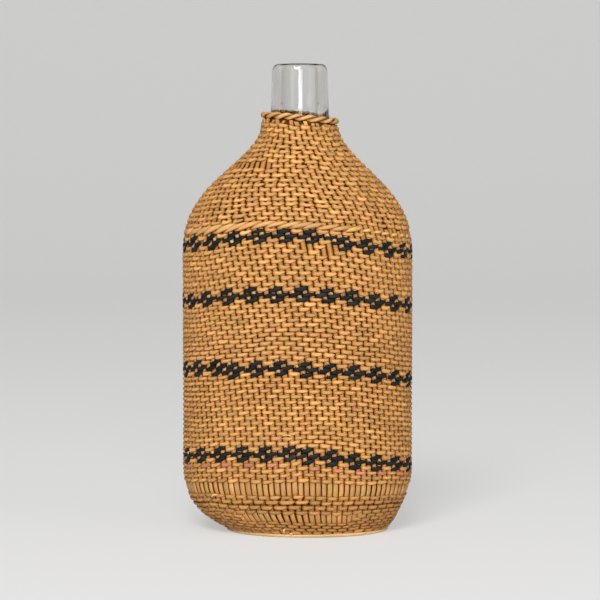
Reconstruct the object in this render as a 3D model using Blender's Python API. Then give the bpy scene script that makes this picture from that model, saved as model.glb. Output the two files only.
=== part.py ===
"""Basketry bottle: a clear glass flask inside a close-fitting twined basketry cover.

Units are metres and +Z is up. The flask's wide faces look along -Y and +Y, and the origin is
under the middle of the base. The cover is built up from the floor in courses, each a separate
ring of weaving that keeps a small gap to its neighbours and to the glass inside.
"""

import math

import bpy
import numpy as np

# Outer form of the basketry cover
BODY_HALF_WIDTH = 0.0514
BODY_HALF_DEPTH = 0.0335
FLOOR_HALF_WIDTH = 0.0330
HEEL_RISE = 0.0280
HEEL_FULLNESS = 0.70
HEEL_SHIFT = 0.0050
HEEL_SHIFT_HEIGHT = 0.0150
SHOULDER_LEAD = 0.0134
SHOULDER_HEIGHT = 0.0630
SHOULDER_FULLNESS = 1.61
NECK_SHIFT = 0.0010

# Basketry: wall thickness, the rise of each course over the flat faces, its fall to one side
WEAVE_THICKNESS = 0.0023
ROW_ARCH = 0.0050
ROW_TILT = 0.0014
ARCH_RISE = 0.0300
GAP = 0.0003
FIT = 0.0005

# Courses from the floor up, measured on the narrow sides
START_HALF_WIDTH = 0.0130
FLOOR_EDGE = 0.0004
EDGE_ROW_HEIGHT = 0.0021
HEEL_WEAVE_HEIGHT = 0.0040
LOWER_OPEN_HEIGHT = 0.0037
FOOT_WEAVE_HEIGHT = 0.0068
UPPER_OPEN_HEIGHT = 0.0043
LOW_WALL_HEIGHT = 0.0060
PINK_ROW_HEIGHT = 0.0022
BAND_ROW_HEIGHT = 0.0023
WALL_4_HEIGHT = 0.0305
WALL_3_HEIGHT = 0.0247
WALL_2_HEIGHT = 0.0191
RIDGE_HEIGHT = 0.0034
NECK_WEAVE_HEIGHT = 0.0180
WARP_ENDS_HEIGHT = 0.0014

# Rows of stitches in the plain courses, and how deep the groove between two rows is
WALL_4_ROWS = 14
WALL_3_ROWS = 11
WALL_2_ROWS = 8
SHOULDER_ROWS = 12
NECK_ROWS = 8
ROW_GROOVE = 0.0008

# Bare warps: how far they lie behind the stitches, the groove between two, and their counts
WARP_SET_BACK = 0.0006
WARP_GROOVE = 0.0006
UPPER_OPEN_WARPS = 95
LOWER_OPEN_WARPS = 87
NECK_WARPS = 40

# Braid round the rim and the three-strand ridge
RIM_BRAID_RADIUS = 0.0014
RIDGE_PROUD = 0.0011

# Glass flask
GLASS_NECK_RADIUS = 0.0124
NECK_ROOM = 0.0022
GLASS_NECK_FLARE = 0.0006
NECK_EXPOSED = 0.0224
BORE_RADIUS = 0.0082
GLASS_WALL = 0.0030
GLASS_FLOOR = 0.0045
BORE_FLARE = 0.0012
BORE_DROP = 0.0040
LIP_DROP = 0.0042
LIP_INNER_DROP = 0.0020

# Facets: round each ring, up the curved parts of the outline, and round a cord
SEGMENTS = 40
LONGEST_FACET = 0.0055
SHOULDER_STEPS = 13
CORD_BEVEL_RESOLUTION = 2

# Heights that follow from the sizes above
COLLAR_RADIUS = GLASS_NECK_RADIUS + NECK_ROOM + 2 * RIM_BRAID_RADIUS
BAND_HEIGHT = 3 * BAND_ROW_HEIGHT
RIDGE_BASE = (FLOOR_EDGE + EDGE_ROW_HEIGHT + HEEL_WEAVE_HEIGHT + LOWER_OPEN_HEIGHT
              + FOOT_WEAVE_HEIGHT + UPPER_OPEN_HEIGHT + LOW_WALL_HEIGHT + PINK_ROW_HEIGHT
              + WALL_4_HEIGHT + WALL_3_HEIGHT + WALL_2_HEIGHT + 4 * BAND_HEIGHT)
SHOULDER_BASE = RIDGE_BASE - SHOULDER_LEAD
NECK_BASE = SHOULDER_BASE + SHOULDER_HEIGHT
SHOULDER_WEAVE_HEIGHT = NECK_BASE - NECK_WEAVE_HEIGHT - RIDGE_BASE - RIDGE_HEIGHT
RIM_BASE = NECK_BASE + WARP_ENDS_HEIGHT
RIM_TOP = RIM_BASE + GAP + 2 * RIM_BRAID_RADIUS
GLASS_TOP = RIM_TOP + NECK_EXPOSED

COLLECTION_NAME = "basketry_bottle"

# Colours as linear red, green and blue
STRAW = (0.55, 0.30, 0.12)
BARE_STRAW = (0.47, 0.25, 0.10)
PALE_STRAW = (0.62, 0.38, 0.16)
DYED_BLACK = (0.012, 0.012, 0.014)
DYED_PINK = (0.60, 0.22, 0.16)
CLEAR_GLASS = (0.90, 0.93, 0.92)


def clear_scene():
    """Remove every object of the open file, and the collection of an earlier run."""
    for obj in list(bpy.data.objects):
        bpy.data.objects.remove(obj, do_unlink=True)
    for collection in list(bpy.data.collections):
        bpy.data.collections.remove(collection)


def make_material(name, colour, roughness, transmission=0.0):
    """A Principled BSDF with one colour and roughness."""
    material = bpy.data.materials.new(name)
    material.use_nodes = True
    shader = material.node_tree.nodes["Principled BSDF"]
    shader.inputs["Base Color"].default_value = (*colour, 1.0)
    shader.inputs["Roughness"].default_value = roughness
    shader.inputs["Metallic"].default_value = 0.0
    shader.inputs["Transmission Weight"].default_value = transmission
    material.diffuse_color = (*colour, 1.0)
    return material


def smooth_step(value):
    """0 below 0, 1 above 1, and a smooth rise between."""
    v = np.clip(value, 0.0, 1.0)
    return v * v * (3.0 - 2.0 * v)


def half_width(height):
    """Half the cover's width: a flat floor below height 0, the heel's curve, then the shoulder's."""
    h = np.asarray(height, dtype=float)
    heel = np.clip(h / HEEL_RISE, 0.0, 1.0)
    heel_share = (1.0 - (1.0 - heel) ** 2) ** HEEL_FULLNESS
    body = FLOOR_HALF_WIDTH + (BODY_HALF_WIDTH - FLOOR_HALF_WIDTH) * heel_share
    shoulder = np.clip((h - SHOULDER_BASE) / SHOULDER_HEIGHT, 0.0, 1.0)
    shoulder_share = (1.0 + np.cos(math.pi * shoulder ** SHOULDER_FULLNESS)) / 2.0
    upper = COLLAR_RADIUS + (body - COLLAR_RADIUS) * shoulder_share
    return np.where(h < 0.0, FLOOR_HALF_WIDTH + h, upper)


def depth_for_width(width):
    """Half the depth of the oval section whose half-width is given, a circle at the neck."""
    slope = (BODY_HALF_DEPTH - COLLAR_RADIUS) / (BODY_HALF_WIDTH - COLLAR_RADIUS)
    return COLLAR_RADIUS + (width - COLLAR_RADIUS) * slope


def half_depth(height):
    """Half the cover's depth; on the floor the ovals shrink in proportion towards the middle."""
    h = np.asarray(height, dtype=float)
    width = half_width(h)
    floor_share = width / FLOOR_HALF_WIDTH
    return np.where(h < 0.0, depth_for_width(FLOOR_HALF_WIDTH) * floor_share, depth_for_width(width))


def section_centre(height):
    """X of the section's middle: the floor and the neck stand a little to the right."""
    h = np.asarray(height, dtype=float)
    low = np.clip(1.0 - np.maximum(h, 0.0) / HEEL_SHIFT_HEIGHT, 0.0, 1.0) ** 2
    high = smooth_step(2.0 * (h - SHOULDER_BASE) / SHOULDER_HEIGHT - 1.0)
    return HEEL_SHIFT * low + NECK_SHIFT * high


def surface(theta, height):
    """A point of the cover's outside at an angle round it and a height up its outline."""
    h = np.asarray(height, dtype=float) + 0.0 * theta
    x = section_centre(h) + half_width(h) * np.cos(theta)
    y = half_depth(h) * np.sin(theta)
    return np.stack([x, y, np.maximum(h, 0.0)], axis=-1)


def inset_surface(theta, height, inset):
    """A point inside the cover's outside, moved in by inset along the surface's normal."""
    h = np.asarray(height, dtype=float) + 0.0 * theta
    small = 1e-5
    step = np.where(h < 0.0, -small, small)
    round_way = surface(theta + small, h) - surface(theta - small, h)
    up_way = (surface(theta, h + step) - surface(theta, h)) * np.sign(step)[..., None]
    normal = np.cross(round_way, up_way)
    normal /= np.linalg.norm(normal, axis=-1, keepdims=True)
    depth = np.asarray(inset, dtype=float) + 0.0 * theta
    return surface(theta, h) - normal * depth[..., None]


def even_angles():
    """Angles round the oval, at equal steps."""
    return np.arange(SEGMENTS) * 2.0 * math.pi / SEGMENTS


def evenly_spaced_angles(count, height):
    """Angles whose points lie at equal distances along the oval at one height."""
    fine = np.linspace(0.0, 2.0 * math.pi, 1441)
    points = surface(fine, height)
    lengths = np.linalg.norm(np.diff(points, axis=0), axis=1)
    along = np.concatenate([[0.0], np.cumsum(lengths)])
    wanted = np.arange(count) / count * along[-1]
    return np.interp(wanted, along, fine)


def course_height(theta, height):
    """Height of a course at an angle: it arches over both wide faces and falls to the right."""
    share = min(max(height / ARCH_RISE, 0.0), 1.0)
    fade = 1.0 - float(smooth_step((height - SHOULDER_BASE) / SHOULDER_HEIGHT))
    arch = ROW_ARCH * share * fade
    tilt = ROW_TILT * share
    return height + arch * np.sin(theta) ** 2 - tilt * np.cos(theta)


def levels(low, high):
    """Heights from low to high, close enough together to follow the outline."""
    curved = low < HEEL_RISE or high > SHOULDER_BASE
    facet = LONGEST_FACET if curved else 4.0 * LONGEST_FACET
    count = max(1, math.ceil((high - low) / facet - 1e-9))
    return [low + (high - low) * i / count for i in range(count + 1)]


def add_object(name, mesh, material):
    """Put a finished mesh into the collection, smooth where its faces nearly line up."""
    mesh.shade_smooth()
    mesh.set_sharp_from_angle(angle=math.radians(35.0))
    mesh.materials.append(material)
    obj = bpy.data.objects.new(name, mesh)
    bpy.data.collections[COLLECTION_NAME].objects.link(obj)
    obj.parent = bpy.data.objects[COLLECTION_NAME + "_origin"]
    return obj


def strip_faces(rows, columns, first_row, second_row):
    """Quads between two closed loops of points, facing outwards where the second lies above."""
    low = (first_row % rows) * columns
    high = (second_row % rows) * columns
    return [(low + j, low + (j + 1) % columns, high + (j + 1) % columns, high + j)
            for j in range(columns)]


def loft_ring(name, loops, material):
    """A closed ring: loops of points joined in turn, and the last to the first."""
    rows = len(loops)
    columns = len(loops[0])
    faces = []
    for i in range(rows):
        faces += strip_faces(rows, columns, i, i + 1)
    mesh = bpy.data.meshes.new(name)
    mesh.from_pydata(np.concatenate(loops).tolist(), [], faces)
    return add_object(name, mesh, material)


def loft_closed(name, loops, material):
    """A closed body: loops of points joined in turn, with a flat cap on the first and the last."""
    rows = len(loops)
    columns = len(loops[0])
    faces = [tuple(reversed(range(columns)))]
    for i in range(rows - 1):
        faces += strip_faces(rows, columns, i, i + 1)
    faces.append(tuple(range((rows - 1) * columns, rows * columns)))
    mesh = bpy.data.meshes.new(name)
    mesh.from_pydata(np.concatenate(loops).tolist(), [], faces)
    return add_object(name, mesh, material)


def weave_ring(name, low, high, material):
    """One course of weaving: the cover's wall from one course height to another."""
    theta = even_angles()
    heights = levels(low + GAP / 2, high - GAP / 2)
    outside = [inset_surface(theta, course_height(theta, h), 0.0) for h in heights]
    inside = [inset_surface(theta, course_height(theta, h), WEAVE_THICKNESS) for h in reversed(heights)]
    return loft_ring(name, outside + inside, material)


def ribbed_ring(name, low, high, rows, material):
    """One course of plain weaving: a rib stands out for each row of stitches, a groove between two."""
    theta = even_angles()
    bottom = low + GAP / 2
    top = high - GAP / 2
    outside = []
    for i in range(2 * rows + 1):
        height = course_height(theta, bottom + (top - bottom) * i / (2 * rows))
        outside.append(inset_surface(theta, height, ROW_GROOVE if i % 2 == 0 else 0.0))
    inside = [inset_surface(theta, course_height(theta, h), WEAVE_THICKNESS)
              for h in reversed(levels(bottom, top))]
    return loft_ring(name, outside + inside, material)


def warp_ring(name, low, high, warps, material):
    """A course of bare warps: upright splints set back from the stitches, a groove after each."""
    theta = evenly_spaced_angles(2 * warps, (low + high) / 2)
    groove = np.where(np.arange(2 * warps) % 2 == 0, 0.0, WARP_GROOVE)
    heights = levels(low + GAP / 2, high - GAP / 2)
    outside = [inset_surface(theta, course_height(theta, h), WARP_SET_BACK + groove) for h in heights]
    inside = [inset_surface(theta, course_height(theta, h), WEAVE_THICKNESS) for h in reversed(heights)]
    return loft_ring(name, outside + inside, material)


def rope_ring(name, height, inset, radius, material):
    """A closed round cord laid on one course height, its middle inset from the cover's outside."""
    theta = even_angles()
    points = inset_surface(theta, course_height(theta, height), inset)
    curve = bpy.data.curves.new(name + "_path", "CURVE")
    curve.dimensions = "3D"
    curve.bevel_depth = radius
    curve.bevel_resolution = CORD_BEVEL_RESOLUTION
    spline = curve.splines.new("POLY")
    spline.points.add(len(points) - 1)
    spline.points.foreach_set("co", np.column_stack([points, np.ones(len(points))]).ravel())
    spline.use_cyclic_u = True
    path = bpy.data.objects.new(name + "_path", curve)
    bpy.data.collections[COLLECTION_NAME].objects.link(path)
    bpy.context.view_layer.update()
    evaluated = path.evaluated_get(bpy.context.evaluated_depsgraph_get())
    mesh = bpy.data.meshes.new_from_object(evaluated)
    mesh.name = name
    bpy.data.objects.remove(path, do_unlink=True)
    bpy.data.curves.remove(curve)
    return add_object(name, mesh, material)


def make_floor(straw, pale):
    """The floor: an oval start in the middle, and the weaving round it up to the heel."""
    theta = even_angles()
    hole = START_HALF_WIDTH - FLOOR_HALF_WIDTH
    start_edge = hole - GAP
    start = [inset_surface(theta, start_edge, inset) for inset in (0.0, WEAVE_THICKNESS)]
    loft_closed("base_start", start, pale)
    floor_heights = [hole, 0.0, FLOOR_EDGE]
    outside = [inset_surface(theta, h, 0.0) for h in floor_heights]
    inside = [inset_surface(theta, h, WEAVE_THICKNESS) for h in reversed(floor_heights)]
    loft_ring("base_weave", outside + inside, straw)


def make_band(number, low, black, alternate):
    """A black band: a row all black between two rows whose stitches alternate black and straw."""
    weave_ring(f"band_{number}_lower_row", low, low + BAND_ROW_HEIGHT, alternate)
    weave_ring(f"band_{number}_middle_row", low + BAND_ROW_HEIGHT, low + 2 * BAND_ROW_HEIGHT, black)
    weave_ring(f"band_{number}_upper_row", low + 2 * BAND_ROW_HEIGHT, low + BAND_HEIGHT, alternate)
    return low + BAND_HEIGHT


def make_wall():
    """Every course from the floor's edge to the braid at the rim."""
    straw = make_material("straw_weft", STRAW, 0.6)
    pale = make_material("pale_straw_weft", PALE_STRAW, 0.6)
    bare = make_material("bare_warp", BARE_STRAW, 0.55)
    black = make_material("black_weft", DYED_BLACK, 0.65)
    alternate = make_material("black_and_straw_weft", DYED_BLACK, 0.6)
    pink = make_material("pink_weft", DYED_PINK, 0.6)
    make_floor(straw, pale)

    height = FLOOR_EDGE
    weave_ring("base_edge_row", height + GAP / 2, height + EDGE_ROW_HEIGHT, pale)
    height += EDGE_ROW_HEIGHT
    weave_ring("heel_weave", height, height + HEEL_WEAVE_HEIGHT, straw)
    height += HEEL_WEAVE_HEIGHT
    warp_ring("lower_open_warps", height, height + LOWER_OPEN_HEIGHT, LOWER_OPEN_WARPS, bare)
    height += LOWER_OPEN_HEIGHT
    weave_ring("foot_weave", height, height + FOOT_WEAVE_HEIGHT, straw)
    height += FOOT_WEAVE_HEIGHT
    warp_ring("upper_open_warps", height, height + UPPER_OPEN_HEIGHT, UPPER_OPEN_WARPS, bare)
    height += UPPER_OPEN_HEIGHT
    weave_ring("low_wall_weave", height, height + LOW_WALL_HEIGHT, straw)
    height += LOW_WALL_HEIGHT
    weave_ring("pink_row", height, height + PINK_ROW_HEIGHT, pink)
    height += PINK_ROW_HEIGHT
    height = make_band(4, height, black, alternate)
    ribbed_ring("wall_weave_4", height, height + WALL_4_HEIGHT, WALL_4_ROWS, straw)
    height += WALL_4_HEIGHT
    height = make_band(3, height, black, alternate)
    ribbed_ring("wall_weave_3", height, height + WALL_3_HEIGHT, WALL_3_ROWS, straw)
    height += WALL_3_HEIGHT
    height = make_band(2, height, black, alternate)
    ribbed_ring("wall_weave_2", height, height + WALL_2_HEIGHT, WALL_2_ROWS, straw)
    height += WALL_2_HEIGHT
    make_band(1, height, black, alternate)

    ridge_radius = RIDGE_HEIGHT / 2 - GAP
    rope_ring("twined_ridge", RIDGE_BASE + RIDGE_HEIGHT / 2, ridge_radius - RIDGE_PROUD, ridge_radius, pale)
    shoulder_low = RIDGE_BASE + RIDGE_HEIGHT
    shoulder_high = shoulder_low + SHOULDER_WEAVE_HEIGHT
    ribbed_ring("shoulder_weave", shoulder_low, shoulder_high, SHOULDER_ROWS, straw)
    ribbed_ring("neck_weave", shoulder_high, NECK_BASE, NECK_ROWS, straw)
    warp_ring("cut_warp_ends", NECK_BASE, RIM_BASE, NECK_WARPS, bare)
    rope_ring("rim_braid", RIM_BASE + GAP + RIM_BRAID_RADIUS, RIM_BRAID_RADIUS, RIM_BRAID_RADIUS, pale)


def circle(radius, height):
    """A round loop of the flask's neck, over the neck's middle."""
    theta = even_angles()
    x = NECK_SHIFT + radius * np.cos(theta)
    y = radius * np.sin(theta)
    return np.stack([x, y, np.full_like(theta, height)], axis=-1)


def lip_loops():
    """The fire-polished lip: a quarter oval outside and a smaller one inside the mouth."""
    crest = (GLASS_NECK_RADIUS + BORE_RADIUS) / 2
    outer = [circle(crest + (GLASS_NECK_RADIUS - crest) * math.cos(angle),
                    GLASS_TOP - LIP_DROP * (1.0 - math.sin(angle)))
             for angle in (0.0, math.radians(35.0), math.radians(65.0))]
    inner = [circle(crest - (crest - BORE_RADIUS) * math.sin(angle),
                    GLASS_TOP - LIP_INNER_DROP * (1.0 - math.cos(angle)))
             for angle in (0.0, math.radians(45.0), math.radians(90.0))]
    return outer + inner


def cavity_floor():
    """The cavity's flat floor, an oval over the middle of the flask's base."""
    theta = even_angles()
    inset = WEAVE_THICKNESS + FIT
    width = FLOOR_HALF_WIDTH - GLASS_WALL / 2
    depth = depth_for_width(FLOOR_HALF_WIDTH) - inset - GLASS_WALL / 2
    x = HEEL_SHIFT / 2 + width * np.cos(theta)
    y = depth * np.sin(theta)
    return np.stack([x, y, np.full_like(theta, inset + GLASS_FLOOR)], axis=-1)


def make_flask():
    """The glass: its outside follows the cover's inside, and a bore leads down to the cavity."""
    theta = even_angles()
    outer_inset = WEAVE_THICKNESS + FIT
    inner_inset = outer_inset + GLASS_WALL
    base_edge = -outer_inset / 2
    heel = [HEEL_RISE * share for share in (0.015, 0.09, 0.21, 0.4, 0.65, 1.0)]
    wall = [(HEEL_RISE + SHOULDER_BASE) / 2, SHOULDER_BASE]
    shoulder = [SHOULDER_BASE + SHOULDER_HEIGHT * i / SHOULDER_STEPS for i in range(1, SHOULDER_STEPS + 1)]
    outside = [inset_surface(theta, h, outer_inset) for h in [base_edge] + heel + wall + shoulder]
    neck = [circle(GLASS_NECK_RADIUS + GLASS_NECK_FLARE, RIM_TOP)]
    bore_base = NECK_BASE - BORE_DROP
    bore = [circle(BORE_RADIUS, bore_base), circle(BORE_RADIUS + BORE_FLARE, bore_base - BORE_DROP)]
    cavity = [inset_surface(theta, h, inner_inset) for h in reversed(heel[3:] + wall + shoulder[:-3])]
    glass = make_material("clear_glass", CLEAR_GLASS, 0.03, transmission=1.0)
    loft_closed("glass_flask", outside + neck + lip_loops() + bore + cavity + [cavity_floor()], glass)


def main():
    """Build the flask and its cover."""
    clear_scene()
    collection = bpy.data.collections.new(COLLECTION_NAME)
    bpy.context.scene.collection.children.link(collection)
    origin = bpy.data.objects.new(COLLECTION_NAME + "_origin", None)
    collection.objects.link(origin)
    make_flask()
    make_wall()


main()
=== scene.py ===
"""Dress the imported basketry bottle: a clear flask in a twined cover, with every stitch and warp.

Units are metres and +Z is up. The flask's wide faces look along -Y and +Y. The weft is one long
spiral that climbs to the right as the front is seen, and each stitch of it passes over two warps.
"""

import math

import bpy
import numpy as np
from mathutils import Matrix


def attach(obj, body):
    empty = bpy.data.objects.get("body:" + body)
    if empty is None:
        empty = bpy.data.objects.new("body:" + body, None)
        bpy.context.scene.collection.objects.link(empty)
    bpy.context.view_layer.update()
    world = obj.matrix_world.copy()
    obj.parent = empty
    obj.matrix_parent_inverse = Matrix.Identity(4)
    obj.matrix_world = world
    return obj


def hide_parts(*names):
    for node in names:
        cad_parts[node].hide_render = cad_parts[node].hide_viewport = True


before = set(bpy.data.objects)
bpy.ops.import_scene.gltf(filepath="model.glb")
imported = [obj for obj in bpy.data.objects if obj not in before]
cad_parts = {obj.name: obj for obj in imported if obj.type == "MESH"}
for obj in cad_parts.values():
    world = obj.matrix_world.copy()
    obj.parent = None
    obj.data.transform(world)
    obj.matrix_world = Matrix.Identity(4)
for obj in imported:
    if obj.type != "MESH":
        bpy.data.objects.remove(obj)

bl_info = {
    "name": "Twined Flask Cover",
    "version": (1, 0, 0),
    "blender": (4, 5, 0),
    "location": "View3D > Sidebar > Twined Flask",
    "description": "Builds the stitches, warps, ridge, rim and glass of a twined flask cover",
    "category": "Add Mesh",
}

FULL_TURN = 2.0 * math.pi

# Outer form of the cover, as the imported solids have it
BODY_HALF_WIDTH = 0.0514
BODY_HALF_DEPTH = 0.0335
FLOOR_HALF_WIDTH = 0.0330
HEEL_RISE = 0.0280
HEEL_FULLNESS = 0.70
HEEL_SHIFT = 0.0050
HEEL_SHIFT_HEIGHT = 0.0150
SHOULDER_LEAD = 0.0134
SHOULDER_HEIGHT = 0.0630
SHOULDER_FULLNESS = 1.61
NECK_SHIFT = 0.0010
COLLAR_RADIUS = 0.0174
WEAVE_THICKNESS = 0.0023
ROW_ARCH = 0.0050
ROW_TILT = 0.0014
ARCH_RISE = 0.0300
START_HALF_WIDTH = 0.0130
FIT = 0.0005
BAND_ROW = 0.0023
RIDGE_HEIGHT = 0.0034
WARP_ENDS_HEIGHT = 0.0014
RIM_BRAID_RADIUS = 0.0014


def band_rows(band):
    """The three rows of a band, from below."""
    return tuple(("band_%d_%s_row" % (band, row), BAND_ROW, 1) for row in ("lower", "middle", "upper"))


# Courses from the floor's middle to the rim: name, height on the narrow sides, rows of stitches
FLOOR_LOW = START_HALF_WIDTH - FLOOR_HALF_WIDTH
COURSES = (
    ("base_weave", 0.0004 - FLOOR_LOW, 9),
    ("base_edge_row", 0.0021, 1),
    ("heel_weave", 0.0040, 3),
    ("lower_open_warps", 0.0037, 0),
    ("foot_weave", 0.0068, 4),
    ("upper_open_warps", 0.0043, 0),
    ("low_wall_weave", 0.0060, 3),
    ("pink_row", 0.0022, 1),
    *band_rows(4),
    ("wall_weave_4", 0.0305, 14),
    *band_rows(3),
    ("wall_weave_3", 0.0247, 11),
    *band_rows(2),
    ("wall_weave_2", 0.0191, 8),
    *band_rows(1),
    ("twined_ridge", RIDGE_HEIGHT, 0),
    ("shoulder_weave", 0.0282, 12),
    ("neck_weave", 0.0180, 8),
)
RIDGE_BASE = FLOOR_LOW + sum(height for name, height, rows in COURSES[:-3])
SHOULDER_BASE = RIDGE_BASE - SHOULDER_LEAD
NECK_BASE = SHOULDER_BASE + SHOULDER_HEIGHT
RIM_TOP = NECK_BASE + WARP_ENDS_HEIGHT + 0.0003 + 2 * RIM_BRAID_RADIUS

# Where along a turn each band starts: 0 at the back, 0.5 at the middle of the front
SEAM = math.pi / 2.0
BAND_TURNS = {"4": -0.502, "3": -0.612, "2": 0.0, "1": -0.452}
BAND_NEAR = {"pink_row": "4", "shoulder_weave": "1"}

# Whether dyed and straw stitches change places, between a band's start and the back, and after it
DYED_CHANGES = {
    "band_1_lower_row": (1, 1),
    "band_3_lower_row": (0, 1),
    "band_3_upper_row": (0, 1),
    "band_4_lower_row": (1, 0),
    "band_4_upper_row": (1, 0),
    "pink_row": (0, 1),
}

# Height of the rows' slow rise and fall
ROW_WANDER = 0.00028

# Places where the rows rise or sink: angle, its spread before and after, height, its spread, rise
ROW_NUDGES = (
    (4.71, 9.00, 9.00, 0.0105, 0.0042, -0.0011),
    (3.75, 0.55, 0.55, 0.1290, 0.0120, -0.0013),
    (4.42, 0.45, 0.45, 0.0703, 0.0120, 0.0011),
    (4.60, 9.00, 9.00, 0.0703, 0.0160, 0.0011),
    (4.77, 0.09, 0.35, 0.0330, 0.0080, 0.0017),
)

# Places where stitches are worn away, so the warps show: angle from and to, height from and to
BARE_SPOTS = (
    (3.50, 4.20, 0.1607, 0.1630),
    (4.735, 4.800, 0.1225, 0.1268),
    (4.860, 4.900, 0.1225, 0.1245),
    (4.930, 5.030, 0.1200, 0.1245),
)

# Short rows that close the lower open course at the sides: from and to angle, and their heights
# against the foot's first row, which differ by the spread from stitch to stitch
FILLING_SPOTS = ((2.75, 4.10), (5.21, 6.60))
FILLING_LIFTS = (-0.00155, -0.00310)
FILLING_SPREAD = 0.0003
FILLING_SWELL = 0.9

# Heights against values: the warps' sideways drift for each metre climbed, the distance between two
# warps, how far the stitches' left ends stand up, how full the stitches are, and where the warps are
# woven in
WARP_LEAN = (
    (-0.02, 0.02, 0.05, 0.085, 0.115, 0.150, 0.18),
    (0.0, 0.06, 0.11, 0.139, 0.188, 0.26, 0.2),
)
WARP_SPACING = (
    (-0.02, 0.001, 0.008, 0.02, 0.03, 0.12, 0.14, 0.165, 0.18),
    (0.0024, 0.00242, 0.00265, 0.00277, 0.00267, 0.00275, 0.00300, 0.00295, 0.00275),
)
HOOK_SHARE = ((0.0, 0.03, 0.06, 0.09, 0.115, 0.18), (0.45, 0.40, 0.35, 0.65, 1.0, 1.1))
FULL_SHARE = ((0.004, 0.011, 0.0165, 0.022, 0.105, 0.145), (1.12, 1.22, 1.18, 1.0, 1.0, 0.96))
WOVEN_SHARE = (
    (0.0060, 0.0075, 0.0095, 0.0110, 0.0165, 0.0180, 0.0205, 0.0220),
    (1.0, 0.0, 0.0, 1.0, 1.0, 0.0, 0.0, 1.0),
)

# How the warps are followed: the row of the third wall weave where they start, how unevenly, how far
# they keep square to the rows, how quickly they even out, and the least step of an open course
START_ROW = 5
START_SPREAD = 0.07
SQUARENESS = 0.3
EVENING = 0.4
OPEN_STEP = 0.0035

# A stitch's stations and sides, and the ranges of its reach, slant, fullness, hook, rise and
# thickness from stitch to stitch
STITCH_STATIONS = np.array([-1.0, -0.9, -0.74, -0.56, -0.36, -0.1, 0.3, 0.62, 0.86, 1.0])
STITCH_SIDES = 6
REACH_SPREAD = 0.04
SLANT_RANGE = (0.4, 1.6)
FULLNESS_RANGE = (0.86, 1.10)
HOOK_RANGE = (0.6, 1.35)
RISE_SPREAD = 0.07
THICKNESS_RANGE = (0.9, 1.1)
SINKING = 0.00012

# A stitch's ends: height, start and run of the hook at the left, of the thinning at the right, and
# of the cut corners of a dyed stitch; share and power of both tapers; where the dive starts
HOOK_FORM = (0.75, 0.22, 0.3)
THIN_FORM = (0.62, 0.20, 0.8)
CUT_FORM = (0.36, 0.15, 0.3)
POINTED_TAPER = (0.90, 3.6)
BLUNT_TAPER = (0.50, 8.0)
DIVE_STARTS = (0.66, 0.55)
DIVE_POWER = 1.6
DYED_SWELL = 1.32
DYED_LIMIT = 0.1

# Warps that show in the bands: their place along a stitch as a share, sizes, inset and lean
BAND_WARP_PLACE = 0.25
BAND_WARP_HALF_HEIGHT = 0.00060
BAND_WARP_HALF_WIDTH = 0.00080
BAND_WARP_HALF_THICKNESS = 0.0004
BAND_WARP_INSET = 0.00060
BAND_WARP_LEAN = 0.0003

# A warp's section across and outwards, its inset, how far it comes forward between the rows, and how
# much wider it is where it is woven in, and the painted shade there, over its middle and most at its
# edges
WARP_ACROSS = np.array([-0.5, -0.38, 0.0, 0.38, 0.5, 0.38, -0.38])
WARP_OUT = np.array([-0.5, 0.0, 0.15, 0.0, -0.5, -1.0, -1.0])
WARP_SHARES = np.array([0.0, 0.3, 0.5, 0.7])
WARP_INSET = 0.0008
WARP_FORWARD = 0.00028
WOVEN_WIDENING = 0.07
WOVEN_SHADE = 0.04
WOVEN_EDGE_SHADE = 0.56

# Painted shade, as a share, at a stitch's ends and edges, at those of the ridge, between a rope's
# strands, and at the foot, with the height over which that fades
STITCH_SHADES = (0.75, 0.62)
RIDGE_SHADES = (0.5, 0.65)
ROPE_SHADE = 0.7
FOOT_SHADE = 0.34
FOOT_HEIGHT = 0.032

# Tints that a few stitches have over their own colour, and the share of stitches with each
TINTS = ((1.02, 0.96, 1.02), (1.0, 1.03, 0.88))
TINTED_SHARE = 0.08

# A strand's length for each radian, and the range of the number that tells strands apart
MEAN_RADIUS = 0.045
PATTERN_RANGE = 40.0

# The lining behind the warps, its dark colour painted shade: inset and columns
LINING_INSET = 0.00175
LINING_COLUMNS = 96

# The ridge: the angles at which it stops on the right of the front and starts again behind, its
# strands' stations and sides, and for its long strands and for the short ones between those angles
# the spacing, half-length, half-height and rise
RIDGE_ENDS = (5.27, 6.60)
RIDGE_STATIONS = np.array([-1.0, -0.85, -0.62, -0.3, 0.0, 0.3, 0.62, 0.85, 1.0])
RIDGE_SIDES = 8
RIDGE_LONG = (0.0058, 0.0056, 0.00110, 0.00150)
RIDGE_SHORT = (0.0054, 0.0030, 0.00085, 0.00060)
RIDGE_SHORT_LEAD = 0.004
RIDGE_TAIL = 0.003
RIDGE_SPREAD = 0.0008
RIDGE_HALF_THICKNESS = 0.0009
RIDGE_DIVE = 0.0022
RIDGE_DIVE_POWER = 1.8
RIDGE_TAPER = (0.55, 2.5)
RIDGE_FLANK_START = 0.75
RIDGE_OUT = 0.0003
RIDGE_FLANK_INSET = 0.0009
RIDGE_SHORT_INSET = 0.0003
RIDGE_BULK = 0.25

# Ropes: sides of a strand; then strands, turns, radius of the helix and of a strand, and stations
ROPE_SIDES = 8
ROPE_TONES = 24
RIM_ROPE = (2, 9, 0.00070, 0.00084, 360)
EDGE_ROPE = (1, 0, 0.0, 0.00070, 240)
EDGE_STRAND_HEIGHT = 0.0009

# Cut warp ends under the rim: their number, thickness, the painted shade for the rim's shadow over
# them, and section
PEGS = 31
PEG_THICKNESS = 0.0008
PEG_SHADE = 0.85
PEG_INSET = 0.0006
PEG_WIDTHS = (0.0011, 0.0021)
PEG_LEVELS = np.array([-0.6, 0.5, 0.92, 1.0])
PEG_NARROWING = np.array([1.0, 1.0, 1.0, 0.9])

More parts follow.
